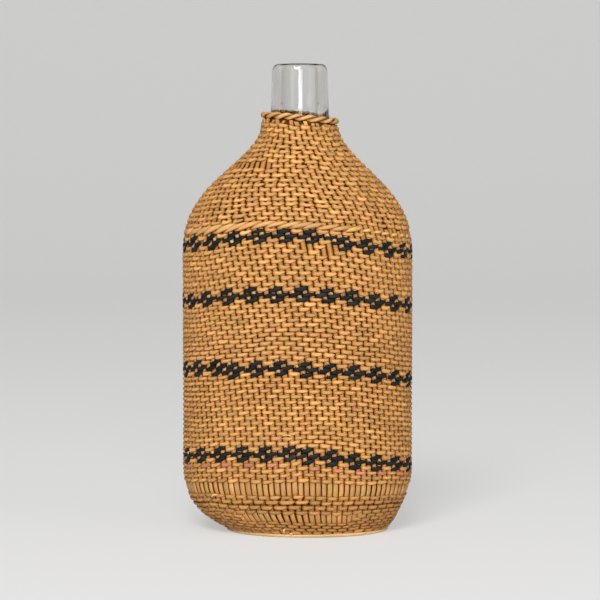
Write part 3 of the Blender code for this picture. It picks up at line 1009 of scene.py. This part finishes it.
class BOTTLE_OT_stitches(BottleOperator, bpy.types.Operator):
    """Build every stitch of the floor, wall, shoulder and neck, one piece for each course"""

    bl_idname = "bottle.stitches"
    bl_label = "Stitches"

    def execute(self, context):
        weave, palette = self.settings(context)
        table = RowTable()
        angles = follow_warps(table, weave.warps, weave.seed)[0]
        start, end = lay_stitches(angles)
        middle = (start + end) / 2.0
        index = np.arange(len(start))
        names, places = zip(*course_starts(table))
        course = np.searchsorted(np.array(places), middle, side="right") - 1
        course = np.clip(course, 0, len(names) - 1)
        theta = angle_of(middle % 1.0)
        height = table.centre[table.row_at(middle)]
        for angle_low, angle_high, low, high in BARE_SPOTS:
            bare = (theta > angle_low) & (theta < angle_high) & (height > low) & (height < high)
            course = np.where(bare, -1, course)
        dyed = []
        for number, name in enumerate(names):
            rng = np.random.default_rng(weave.seed + 31 * number)
            chosen = np.flatnonzero(course == number)
            changes = np.array(DYED_CHANGES.get(name, (0, 0)))
            late = np.floor(middle[chosen]) > math.floor(places[number])
            turn_about = index[chosen] + changes[late.astype(int)]
            colours = stitch_colours(name, turn_about, weave, palette, rng)
            dark = colours[:, 0] < DYED_LIMIT
            dyed.append(chosen[dark])
            strands = (start[chosen], end[chosen], height[chosen], np.where(dark, DYED_SWELL, 1.0))
            stitch_piece(name + "_stitches", slot_for(name), table, strands, colours, weave, rng,
                         nodes=(name,))

        near = table.row_at(middle) == table.first["foot_weave"]
        inside = [near & (theta > before) & (theta < after) for before, after in FILLING_SPOTS]
        chosen = np.flatnonzero(np.any(inside, axis=0))
        for number, lift in enumerate(FILLING_LIFTS):
            rng = np.random.default_rng(weave.seed + 3000 + number)
            shift = (1 - number % 2) * (end[chosen] - start[chosen]) / 2.0
            colours = stitch_colours("foot_weave", index[chosen], weave, palette, rng)
            ragged = lift + rng.uniform(-FILLING_SPREAD, FILLING_SPREAD, len(chosen))[:, None, None]
            swell = np.full(len(chosen), FILLING_SWELL)
            strands = (start[chosen] + shift, end[chosen] + shift, height[chosen], swell)
            name = "foot_filling_%d" % (number + 1)
            stitch_piece(name, "straw_weft", table, strands, colours, weave, rng, lift=ragged)

        dyed = np.concatenate(dyed)
        rng = np.random.default_rng(weave.seed + 2000)
        points, place = band_warp_points(table, start[dyed], end[dyed], rng)
        colours = vary_colours(palette.band_warp, len(dyed), rng, 0.20, 0.05)[:, None, None, :]
        quads, caps = tube_faces(len(dyed), points.shape[1], STITCH_SIDES)
        faces = (quads[:, ::-1], caps[:, ::-1])
        fibre_piece("band_warps", points, faces, strand_attributes(colours, *place), "bare_warp")
        return {"FINISHED"}


# Warps

def warp_stations(table, angles, numbers, warps):
    """Angle and height of each warp at each station, how far it comes forward there, and the row.

    A station lies on each row, where the warp passes behind a stitch, and three lie between two
    rows, where it comes forward. The angle and height aren't numbers where the warp isn't there.
    """
    rows = table.count
    theta = np.full((warps, rows), np.nan)
    for row in range(rows):
        theta[numbers[row], row] = angles[row]
    height = table.height(np.arange(rows)[None, :], turn_of(theta))
    stations = []
    for values in (theta, height):
        steps = values[:, 1:] - values[:, :-1]
        between = values[:, :-1, None] + steps[..., None] * WARP_SHARES
        stations.append(np.concatenate([between.reshape(warps, -1), values[:, -1:]], axis=1))
    forward = np.append(np.tile(np.sin(math.pi * WARP_SHARES) ** 0.7, rows - 1), 0.0)
    row_of = np.append(np.repeat(np.arange(rows - 1), len(WARP_SHARES)), rows - 1)
    return stations[0], stations[1], forward, row_of


def warp_mesh(name, theta, height, forward, weave, palette, rng, widths):
    """One mesh of all the warps between two stations, flat splints with chamfered edges."""
    there = ~np.isnan(theta)
    theta = np.where(there, theta, 0.0)
    height = np.where(there, height, 0.0)
    warps, stations = theta.shape
    sides = len(WARP_ACROSS)
    woven = np.interp(height, *WOVEN_SHARE)
    width = widths[:, None] * weave.warp_width * (1.0 + WOVEN_WIDENING * woven)
    side = theta[..., None] + (width / round_speed(theta, height))[..., None] * WARP_ACROSS
    inset = (WARP_INSET - WARP_FORWARD * forward)[:, None] - weave.warp_thickness * WARP_OUT
    level = course_height(theta, height)[..., None] + 0.0 * side
    points = inset_surface(side, level, inset).reshape(-1, 3)

    base = (np.arange(warps)[:, None] * stations + np.arange(stations)) * sides
    ring = np.arange(sides)
    after = (ring + 1) % sides
    joined = there[:, :-1] & there[:, 1:]
    low = base[:, :-1][joined][:, None]
    high = base[:, 1:][joined][:, None]
    quads = np.stack([high + ring, high + after, low + after, low + ring], axis=-1).reshape(-1, 4)
    padded = np.pad(there, ((0, 0), (1, 1)))
    before_there = padded[:, :-2]
    after_there = padded[:, 2:]
    starts = base[there & ~before_there & after_there][:, None] + ring
    ends = base[there & ~after_there & before_there][:, None] + ring[::-1]
    caps = np.concatenate([starts, ends])

    used = np.zeros(warps * stations * sides, dtype=bool)
    used[quads.ravel()] = True
    new_index = np.cumsum(used) - 1
    colours = vary_colours(palette.warp, warps, rng, weave.tone_spread, 0.03)
    # Painted shade on the warps where they are woven in, deep between the stitches: a little over the
    # middle, most at the edges
    flank = WOVEN_SHADE + (WOVEN_EDGE_SHADE - WOVEN_SHADE) * np.abs(2.0 * WARP_ACROSS) ** 2
    dye = colours[:, None, None, :] * browned(1.0 - woven[..., None] * flank, (1.0, 1.5, 3.0))
    number = rng.uniform(0.0, PATTERN_RANGE, (warps, 1, 1))
    attributes = strand_attributes(dye, height[..., None], WARP_ACROSS * weave.warp_width, number)
    attributes = {key: values[used] for key, values in attributes.items()}
    return build_mesh(name, points[used], new_index[quads], new_index[caps], attributes)


class BOTTLE_OT_warps(BottleOperator, bpy.types.Operator):
    """Build the warp splints that the stitches bind, in five stretches from the floor to the rim"""

    bl_idname = "bottle.warps"
    bl_label = "Warps"

    def execute(self, context):
        weave, palette = self.settings(context)
        table = RowTable()
        angles, numbers = follow_warps(table, weave.warps, weave.seed)
        theta, height, forward, row_of = warp_stations(table, angles, numbers, weave.warps)
        widths = np.random.default_rng(weave.seed + 1000).uniform(0.9, 1.08, weave.warps)
        heel = table.first["heel_weave"]
        foot = table.first["foot_weave"] + 1
        wall = table.first["band_4_lower_row"]
        upper_wall = table.first["band_2_lower_row"]
        stretches = (
            ("floor_warps", 0, heel, ()),
            ("foot_warps", heel, foot, ("lower_open_warps",)),
            ("low_wall_warps", foot, wall, ("upper_open_warps",)),
            ("wall_warps", wall, upper_wall, ()),
            ("shoulder_warps", upper_wall, table.count, ()),
        )
        for name, low, high, nodes in stretches:
            chosen = (row_of >= low) & (row_of <= high)
            rng = np.random.default_rng(weave.seed + 1001)
            mesh = warp_mesh(name, theta[:, chosen], height[:, chosen], forward[chosen], weave, palette,
                             rng, widths)
            add_piece(name, mesh, finish_for("bare_warp"), "bare_warp", *nodes)
        return {"FINISHED"}


class BOTTLE_OT_lining(BottleOperator, bpy.types.Operator):
    """Build the inner face of the weaving, a thin shell behind the warps, painted dark for the shade
    there
    """

    bl_idname = "bottle.lining"
    bl_label = "Lining"

    def execute(self, context):
        palette = context.scene.twined_palette
        theta = round_angles(LINING_COLUMNS)
        floor = np.linspace(0.003 - FLOOR_HALF_WIDTH, -0.002, 8)
        heel = HEEL_RISE * np.array([0.01, 0.05, 0.12, 0.2, 0.3, 0.42, 0.55, 0.7, 0.85, 1.0])
        wall = np.linspace(HEEL_RISE + 0.008, SHOULDER_BASE, 10)
        shoulder = np.linspace(SHOULDER_BASE + 0.003, NECK_BASE + WARP_ENDS_HEIGHT + 0.0005, 20)
        heights = np.concatenate([floor, heel, wall, shoulder])
        outside = [on_rows(theta, height, LINING_INSET) for height in heights]
        inside = [on_rows(theta, height, WEAVE_THICKNESS) for height in heights[::-1]]
        mesh = loft_mesh("inner_strands", outside + inside)
        # Painted shade: the lining is coloured as dark as the shadow behind the warps
        values = {"Base Color": (*palette.lining, 1.0), "Roughness": 0.8, "Specular IOR Level": 0.0}
        material = new_material("inner_strands", values)[0]
        add_piece("inner_strands", mesh, material, "straw_weft")
        return {"FINISHED"}


# Ridge, rim, edge and loose ends

def rope_piece(name, path_point, form, colour, weave, rng, *nodes):
    """Twisted strands round a closed path, with painted shade where they face each other, and slow
    tones.

    path_point gives a point from an angle and two offsets, outwards and upwards. A strand's middle
    circles the path at the helix radius, and its section is a circle of the strand's radius.
    """
    strands, turns, helix_radius, strand_radius, stations = form
    theta = round_angles(stations)[:, None]
    around = round_angles(ROPE_SIDES)
    points = []
    facing = []
    for strand in range(strands):
        twist = turns * theta + strand * FULL_TURN / strands + 0.35 * np.sin(4.0 * theta + 1.0)
        radius = strand_radius * (1.0 + 0.10 * np.sin(5.0 * theta + 2.0 * strand))
        out = helix_radius * np.cos(twist) + radius * np.cos(around)
        up = helix_radius * np.sin(twist) + radius * np.sin(around)
        points.append(path_point(theta + 0.0 * out, out, up))
        facing.append(np.cos(around - twist))
    tone = rng.normal(0.0, 1.0, (strands, ROPE_TONES))
    place = np.arange(stations) / stations * ROPE_TONES
    smooth = [np.interp(place, np.arange(ROPE_TONES + 1), np.append(row, row[0])) for row in tone]
    dye = np.array(colour) * np.exp(weave.tone_spread * np.stack(smooth))[:, :, None, None]
    # Painted shade in the crevices between the strands
    dye = dye * painted_crevice_shade(np.clip(0.75 - 0.6 * np.stack(facing), 0.0, 1.0), ROPE_SHADE)
    attributes = strand_attributes(dye, np.arange(stations)[:, None] * 0.0005,
                                   np.arange(ROPE_SIDES) * 0.0008,
                                   np.arange(strands)[:, None, None] * 7.3)
    faces = tube_faces(strands, stations, ROPE_SIDES, closed=True)
    fibre_piece(name, np.stack(points), faces, attributes, "pale_straw_weft", *nodes)


class BOTTLE_OT_ridge(BottleOperator, bpy.types.Operator):
    """Build the three-strand ridge above the top band, long strands laid over each other"""

    bl_idname = "bottle.ridge"
    bl_label = "Ridge"

    def execute(self, context):
        weave, palette = self.settings(context)
        rng = np.random.default_rng(weave.seed + 500)
        middle_height = RIDGE_BASE + RIDGE_HEIGHT / 2.0
        fine, along = lengths_round(middle_height)
        stop, start = np.interp(RIDGE_ENDS, fine, along)
        place = np.concatenate([
            np.arange(0.0, stop, RIDGE_LONG[0]),
            np.arange(stop + RIDGE_SHORT_LEAD, start, RIDGE_SHORT[0]),
            np.arange(start, along[-1] - RIDGE_TAIL, RIDGE_LONG[0]),
        ])
        count = len(place)
        shape = (count, 1, 1)
        short = ((place > stop) & (place < start))[:, None, None]
        half, full, rise = (np.where(short, *both) for both in zip(RIDGE_SHORT[1:], RIDGE_LONG[1:]))
        shifted = place + rng.uniform(-RIDGE_SPREAD, RIDGE_SPREAD, count)
        theta_middle = np.interp(shifted, along, fine)[:, None, None]
        u = RIDGE_STATIONS[None, :, None]
        around = round_angles(RIDGE_SIDES)
        half = half * rng.uniform(0.9, 1.1, shape)
        theta = theta_middle + half * u / round_speed(theta_middle, middle_height)
        beside = np.abs(np.cos(theta_middle)) - RIDGE_FLANK_START
        flank = smooth_step(beside / (1.0 - RIDGE_FLANK_START))
        bulk = 1.0 + RIDGE_BULK * np.clip(-np.cos(theta_middle), 0.0, 1.0)
        taper, power = RIDGE_TAPER
        full = full * bulk * rng.uniform(0.9, 1.1, shape) * (1.0 - taper * np.abs(u) ** power)
        rise = rise * np.where(short, 1.0, bulk) * u * rng.uniform(0.85, 1.1, shape)
        height = middle_height + rise + full * np.cos(around) + wander(theta, middle_height)
        inset = RIDGE_FLANK_INSET * flank - RIDGE_OUT + np.where(short, RIDGE_SHORT_INSET, 0.0)
        inset = inset + RIDGE_DIVE * np.abs(u) ** RIDGE_DIVE_POWER
        inset = inset - RIDGE_HALF_THICKNESS * np.sin(around)
        colours = vary_colours(palette.pale_straw, count, rng, 0.08, 0.03)
        # Painted shade at the ridge strands' ends and edges, where they dive and meet
        end_shade, edge_shade = RIDGE_SHADES
        dye = colours[:, None, None, :] * painted_crevice_shade(u, end_shade)
        dye = dye * painted_crevice_shade(0.97 * np.abs(np.cos(around)), edge_shade)
        number = rng.uniform(0.0, PATTERN_RANGE, shape)
        attributes = strand_attributes(dye, half * u, full * np.cos(around), number)
        faces = tube_faces(count, len(RIDGE_STATIONS), RIDGE_SIDES)
        points = on_rows(theta, height, inset)
        fibre_piece("ridge_strands", points, faces, attributes, "pale_straw_weft", "twined_ridge")
        return {"FINISHED"}


class BOTTLE_OT_rim(BottleOperator, bpy.types.Operator):
    """Build the twisted braid round the rim, and the cut ends of the warps under it"""

    bl_idname = "bottle.rim"
    bl_label = "Rim"

    def execute(self, context):
        weave, palette = self.settings(context)
        rng = np.random.default_rng(weave.seed + 700)

        def rim_point(theta, out, up):
            """A circle of the rim's radius plus one offset, at the rim's height plus the other."""
            radius = COLLAR_RADIUS - RIM_BRAID_RADIUS + out
            height = RIM_TOP - RIM_BRAID_RADIUS - ROW_TILT * np.cos(theta) + up
            x = NECK_SHIFT + radius * np.cos(theta)
            return np.stack([x, radius * np.sin(theta), height], axis=-1)

        rope_piece("rim_strands", rim_point, RIM_ROPE, palette.pale_straw, weave, rng, "rim_braid")

        shape = (PEGS, 1, 1)
        theta = (np.arange(PEGS) + rng.uniform(-0.3, 0.3, PEGS))[:, None, None] / PEGS * FULL_TURN
        tall = WARP_ENDS_HEIGHT * rng.uniform(0.7, 1.25, shape)
        levels = PEG_LEVELS[:, None]
        narrow = PEG_NARROWING[:, None]
        radius = COLLAR_RADIUS - PEG_INSET - rng.uniform(0.0, 0.0003, shape)
        across = np.array([-0.5, 0.5, 0.5, -0.5]) * rng.uniform(*PEG_WIDTHS, shape)
        out = np.array([0.0, 0.0, -1.0, -1.0]) * PEG_THICKNESS
        lean = rng.uniform(-0.05, 0.05, shape) * levels
        side = theta + lean + across / radius * narrow
        reach = radius + out * narrow
        z = NECK_BASE + tall * levels - ROW_TILT * np.cos(side)
        points = np.stack([NECK_SHIFT + reach * np.cos(side), reach * np.sin(side), z], axis=-1)
        # Painted shade: the cut ends are darkened for the shadow under the rim
        colours = PEG_SHADE * vary_colours(palette.warp, PEGS, rng, 0.22, 0.04)[:, None, None, :]
        attributes = strand_attributes(colours, z, across, theta * 9.0)
        faces = tube_faces(PEGS, len(PEG_LEVELS), 4)
        pegs = fibre_piece("warp_end_pegs", points, faces, attributes, "bare_warp", "cut_warp_ends")
        pegs.data.set_sharp_from_angle(angle=math.radians(40.0))
        return {"FINISHED"}


class BOTTLE_OT_edge_strand(BottleOperator, bpy.types.Operator):
    """Build the one pale strand that runs round the edge of the floor"""

    bl_idname = "bottle.edge_strand"
    bl_label = "Edge Strand"

    def execute(self, context):
        weave, palette = self.settings(context)
        rng = np.random.default_rng(weave.seed + 800)

        def edge_point(theta, out, up):
            """A loop near the floor's edge, plus the outward offset along the oval's flat normal."""
            normal = np.stack([np.cos(theta) / half_width(EDGE_STRAND_HEIGHT),
                               np.sin(theta) / half_depth(EDGE_STRAND_HEIGHT), 0.0 * theta], axis=-1)
            normal /= np.linalg.norm(normal, axis=-1, keepdims=True)
            points = surface(theta, EDGE_STRAND_HEIGHT) + normal * out[..., None]
            points[..., 2] = np.maximum(points[..., 2] + up, 0.0)
            return points

        rope_piece("edge_strand", edge_point, EDGE_ROPE, palette.edge, weave, rng)
        return {"FINISHED"}


class BOTTLE_OT_loose_ends(BottleOperator, bpy.types.Operator):
    """Build the few split or cut strands that stand off the cover"""

    bl_idname = "bottle.loose_ends"
    bl_label = "Loose Ends"

    def execute(self, context):
        weave, palette = self.settings(context)
        rng = np.random.default_rng(weave.seed + 850)
        count = len(LOOSE_ENDS)
        share = np.linspace(0.0, 1.0, LOOSE_STATIONS)[:, None]
        around = round_angles(LOOSE_SIDES)
        theta_low, height_low, theta_high, height_high, bulge, half = (
            np.array(values)[:, None, None] for values in zip(*LOOSE_ENDS))
        arch = np.sin(math.pi * share)
        flat = half * (0.35 + 0.65 * arch ** 0.5)
        theta = theta_low + (theta_high - theta_low) * share
        height = height_low + (height_high - height_low) * share
        height = height + flat * np.cos(around) + bulge * LOOSE_RISE * arch
        inset = LOOSE_INSET - bulge * arch - LOOSE_FLATNESS * flat * np.sin(around)
        colours = vary_colours(palette.edge, count, rng, 0.05, 0.02)[:, None, None, :]
        number = np.arange(count)[:, None, None] * 3.7
        attributes = strand_attributes(colours, share * 0.005, flat * np.cos(around), number)
        faces = tube_faces(count, LOOSE_STATIONS, LOOSE_SIDES)
        fibre_piece("loose_ends", on_rows(theta, height, inset), faces, attributes, "pale_straw_weft")
        return {"FINISHED"}


class BOTTLE_OT_floor_start(BottleOperator, bpy.types.Operator):
    """Build the oval start of the floor, splints plaited over and under each other"""

    bl_idname = "bottle.floor_start"
    bl_label = "Floor Start"

    def execute(self, context):
        weave, palette = self.settings(context)
        rng = np.random.default_rng(weave.seed + 900)
        halves = (START_HALF_WIDTH, float(half_depth(FLOOR_LOW)))
        centre_x = float(section_centre(0.0))
        across = np.array([-0.5, -0.4, 0.4, 0.5, 0.4, -0.4]) * PLAIT_WIDTH
        up = np.array([0.0, -1.0, -1.0, 0.0, 1.0, 1.0]) * PLAIT_HALF_THICKNESS
        layers = []
        for way in (0, 1):
            length_half = halves[way]
            cross_half = halves[1 - way]
            reach = int(cross_half / PLAIT_SPACING)
            lanes = (np.arange(-reach, reach + 1) * PLAIT_SPACING)[:, None]
            ends = length_half * np.sqrt(np.clip(1.0 - (lanes / cross_half) ** 2, 0.04, 1.0))
            run = ends * np.linspace(-1.0, 1.0, PLAIT_STATIONS)
            wave = np.cos(math.pi * (run / PLAIT_SPACING + np.arange(len(lanes))[:, None] + way))
            z = np.maximum((PLAIT_LIFT + PLAIT_WAVE * wave)[..., None] + up, 0.0)
            flat = list(np.broadcast_arrays(run[..., None], lanes[..., None] + across))
            if way == 1:
                flat.reverse()
            points = np.stack([centre_x + flat[0], flat[1], z], axis=-1)
            colours = vary_colours(palette.pale_straw, len(lanes), rng, 0.1, 0.03)[:, None, None, :]
            number = colours[..., 0] * 30.0 + 0.0 * z
            dye = colours + 0.0 * points
            layer = (points, dye, points[..., way], points[..., 1 - way], number)
            layers.append([values[:, :, ::-1] if way == 1 else values for values in layer])
        points, dye, *place = (np.concatenate(values) for values in zip(*layers))
        faces = tube_faces(*points.shape[:3])
        attributes = strand_attributes(dye, *place)
        fibre_piece("floor_start_plait", points, faces, attributes, "pale_straw_weft", "base_start")
        return {"FINISHED"}


# Glass

def flat_loop(centre_x, half_x, half_y, height, theta):
    """A level oval loop: half-width times cosine and half-depth times sine."""
    return np.stack([centre_x + half_x * np.cos(theta), half_y * np.sin(theta),
                     np.full_like(theta, height)], axis=-1)


class BOTTLE_OT_glass(BottleOperator, bpy.types.Operator):
    """Build the clear flask, its outside just inside the cover and a round neck above it"""

    bl_idname = "bottle.glass"
    bl_label = "Glass Flask"

    def execute(self, context):
        palette = context.scene.twined_palette
        glass = context.scene.twined_glass
        theta = round_angles(GLASS_COLUMNS)
        outer_inset = WEAVE_THICKNESS + FIT
        inner_inset = outer_inset + glass.wall
        heel = HEEL_RISE * np.array([0.015, 0.05, 0.09, 0.15, 0.21, 0.3, 0.4, 0.52, 0.65, 0.8, 1.0])
        wall = np.array([(HEEL_RISE + SHOULDER_BASE) / 2.0, SHOULDER_BASE])
        shoulder = SHOULDER_BASE + SHOULDER_HEIGHT * np.arange(1, 27) / 26
        outer_heights = np.concatenate([[-outer_inset / 2.0], heel, wall, shoulder])
        inner_heights = np.concatenate([heel[6:], wall, shoulder[:-6]])[::-1]

        # Radius and height of each loop of the neck, up its outside, over the lip and down the bore
        crest = GLASS_NECK_RADIUS - LIP_ROUND
        quarter = np.linspace(0.0, math.pi / 2.0, 9)
        bore_base = NECK_BASE - BORE_DROP
        rings = [(GLASS_NECK_RADIUS + GLASS_NECK_FLARE * (1.0 - share),
                  RIM_TOP + GLASS_FLARE_HEIGHT * share) for share in (0.0, 0.25, 0.5, 0.75)]
        rings += [(crest + LIP_ROUND * math.cos(a), GLASS_TOP - LIP_DROP * (1.0 - math.sin(a)))
                  for a in quarter]
        rings += [(crest - (crest - glass.bore_radius) * math.sin(a),
                   GLASS_TOP - LIP_INNER_DROP * (1.0 - math.cos(a))) for a in quarter[1:]]
        rings += [(glass.bore_radius, RIM_TOP), (glass.bore_radius, bore_base),
                  (glass.bore_radius + BORE_FLARE, bore_base - BORE_DROP)]

        width = FLOOR_HALF_WIDTH - glass.wall / 2.0
        depth = depth_for_width(FLOOR_HALF_WIDTH) - outer_inset - glass.wall / 2.0
        loops = [inset_surface(theta, height, outer_inset) for height in outer_heights]
        loops += [flat_loop(NECK_SHIFT, radius, radius, height, theta) for radius, height in rings]
        loops += [inset_surface(theta, height, inner_inset) for height in inner_heights]
        floor_height = outer_inset + GLASS_FLOOR
        loops += [flat_loop(HEEL_SHIFT / 2.0, width * share, depth * share, floor_height, theta)
                  for share in (1.0, 0.9)]

        clear = (*palette.glass, 1.0)
        values = {"Base Color": clear, "Roughness": 0.02, "IOR": 1.5, "Transmission Weight": 1.0}
        material, tree, shader = new_material("clear_glass", values)
        slope = make_node(tree, "LayerWeight", {"Blend": 0.5})
        limits = dict(zip(("From Min", "From Max"), GLASS_SLANT_RANGE))
        slant = make_node(tree, "MapRange", limits, interpolation_type="SMOOTHSTEP")
        colours = {6: clear, 7: (*palette.glass_edge, 1.0)}
        tint = make_node(tree, "Mix", colours, data_type="RGBA")
        link_all(
            tree,
            (slope, "Facing", slant, "Value"),
            (slant, "Result", tint, 0),
            (tint, 2, shader, "Base Color"),
        )
        add_piece("flask", loft_mesh("flask", loops), material, "clear_glass", "glass_flask")
        return {"FINISHED"}


# Stage

def aim(obj, place, target):
    """Put a lamp or camera at a place, looking at a target."""
    forward = np.array(target) - np.array(place)
    forward = forward / np.linalg.norm(forward)
    right = np.cross(forward, [0.0, 0.0, 1.0])
    right = right / np.linalg.norm(right)
    matrix = np.eye(4)
    matrix[:3, 0] = right
    matrix[:3, 1] = np.cross(right, forward)
    matrix[:3, 2] = -forward
    matrix[:3, 3] = place
    obj.matrix_world = Matrix(matrix.tolist())


def add_lamp(name, place, size, power):
    """A soft area lamp."""
    data = bpy.data.lights.new(name, "AREA")
    data.shape = "RECTANGLE"
    data.size = size[0]
    data.size_y = size[1]
    data.energy = power
    lamp = bpy.data.objects.new(name, data)
    bpy.context.scene.collection.objects.link(lamp)
    aim(lamp, place, LAMP_TARGET)


def sweep_material(palette):
    """A pale floor that also glows a little where the camera, a reflection or the glass sees it."""
    values = {"Base Color": (*palette.floor, 1.0), "Roughness": 0.9}
    material, tree, shader = new_material("sweep", values)
    light_path = make_node(tree, "LightPath", {})
    glow = make_node(tree, "Emission", {"Color": SWEEP_GLOW})
    seen = make_node(tree, "Math", {}, operation="ADD")
    seen_or_through = make_node(tree, "Math", {}, operation="ADD", use_clamp=True)
    share = make_node(tree, "Math", {1: SWEEP_GLOW_SHARE}, operation="MULTIPLY")
    mix = make_node(tree, "MixShader", {})
    link_all(
        tree,
        (light_path, "Is Camera Ray", seen, 0),
        (light_path, "Is Glossy Ray", seen, 1),
        (seen, 0, seen_or_through, 0),
        (light_path, "Is Transmission Ray", seen_or_through, 1),
        (seen_or_through, 0, share, 0),
        (share, 0, mix, 0),
        (shader, 0, mix, 1),
        (glow, 0, mix, 2),
        (mix, 0, tree.nodes["Material Output"], "Surface"),
    )
    return material


class BOTTLE_OT_stage(BottleOperator, bpy.types.Operator):
    """Build the pale sweep of floor and backdrop, the lamps, the world and the camera"""

    bl_idname = "bottle.stage"
    bl_label = "Stage"

    def execute(self, context):
        scene = context.scene
        stage = scene.twined_stage
        angle = np.linspace(0.0, math.pi / 2.0, 17)
        y = np.concatenate([[-SWEEP_HALF_WIDTH], SWEEP_BACK + SWEEP_BEND * np.sin(angle),
                            [SWEEP_BACK + SWEEP_BEND]])
        z = np.concatenate([[0.0], SWEEP_BEND * (1.0 - np.cos(angle)), [SWEEP_HALF_WIDTH]])
        across = np.array([-SWEEP_HALF_WIDTH, SWEEP_HALF_WIDTH])
        grid = np.stack(np.broadcast_arrays(across, y[:, None], z[:, None]), axis=-1)
        first = np.arange(len(y) - 1) * 2
        quads = np.stack([first, first + 1, first + 3, first + 2], axis=-1)
        mesh = build_mesh("sweep", grid.reshape(-1, 3), quads, np.zeros((0, 4), dtype=int), {})
        mesh.materials.append(sweep_material(scene.twined_palette))
        sweep = bpy.data.objects.new("sweep", mesh)
        scene.collection.objects.link(sweep)

        world = bpy.data.worlds.new("studio")
        world.use_nodes = True
        world.node_tree.nodes["Background"].inputs["Color"].default_value = (1.0, 1.0, 1.0, 1.0)
        world.node_tree.nodes["Background"].inputs["Strength"].default_value = WORLD_STRENGTH
        scene.world = world
        for name, setting, place, size in LAMPS:
            add_lamp(name, place, size, getattr(stage, setting))

        data = bpy.data.cameras.new("camera")
        data.sensor_width = 36.0
        data.angle = stage.field
        data.clip_start = 0.05
        camera = bpy.data.objects.new("camera", data)
        scene.collection.objects.link(camera)
        aim(camera, (stage.aim_x, -stage.distance, stage.eye_height), (stage.aim_x, 0.0, stage.aim_z))
        scene.camera = camera
        scene.view_settings.view_transform = "Standard"
        return {"FINISHED"}


class BOTTLE_PT_panel(bpy.types.Panel):
    """The operators and settings, in the order in which they are used"""

    bl_label = "Twined Flask"
    bl_idname = "BOTTLE_PT_panel"
    bl_space_type = "VIEW_3D"
    bl_region_type = "UI"
    bl_category = "Twined Flask"

    def draw(self, context):
        layout = self.layout
        for operator in OPERATORS:
            layout.operator(operator.bl_idname)
        for group, names in SETTINGS:
            box = layout.box()
            for key in names:
                box.prop(getattr(context.scene, group), key)


OPERATORS = (BOTTLE_OT_glass, BOTTLE_OT_lining, BOTTLE_OT_warps, BOTTLE_OT_stitches, BOTTLE_OT_ridge,
             BOTTLE_OT_rim, BOTTLE_OT_edge_strand, BOTTLE_OT_loose_ends, BOTTLE_OT_floor_start,
             BOTTLE_OT_stage)
GROUPS = {
    "twined_weave": WeaveSettings,
    "twined_palette": PaletteSettings,
    "twined_glass": GlassSettings,
    "twined_stage": StageSettings,
}
SETTINGS = tuple((key, tuple(group.__annotations__)) for key, group in GROUPS.items())


def register():
    """Register the settings, operators and panel."""
    for cls in (*GROUPS.values(), *OPERATORS, BOTTLE_PT_panel):
        bpy.utils.register_class(cls)
    for key, group in GROUPS.items():
        setattr(bpy.types.Scene, key, bpy.props.PointerProperty(type=group))


def unregister():
    """Take them away again."""
    for key in GROUPS:
        delattr(bpy.types.Scene, key)
    for cls in (BOTTLE_PT_panel, *reversed(OPERATORS), *reversed(list(GROUPS.values()))):
        bpy.utils.unregister_class(cls)


def main():
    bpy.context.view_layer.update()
    register()
    bpy.ops.bottle.glass()
    bpy.ops.bottle.lining()
    bpy.ops.bottle.warps()
    bpy.ops.bottle.stitches()
    bpy.ops.bottle.ridge()
    bpy.ops.bottle.rim()
    bpy.ops.bottle.edge_strand()
    bpy.ops.bottle.loose_ends()
    bpy.ops.bottle.floor_start()
    bpy.ops.bottle.stage()


if __name__ == "__main__":
    main()
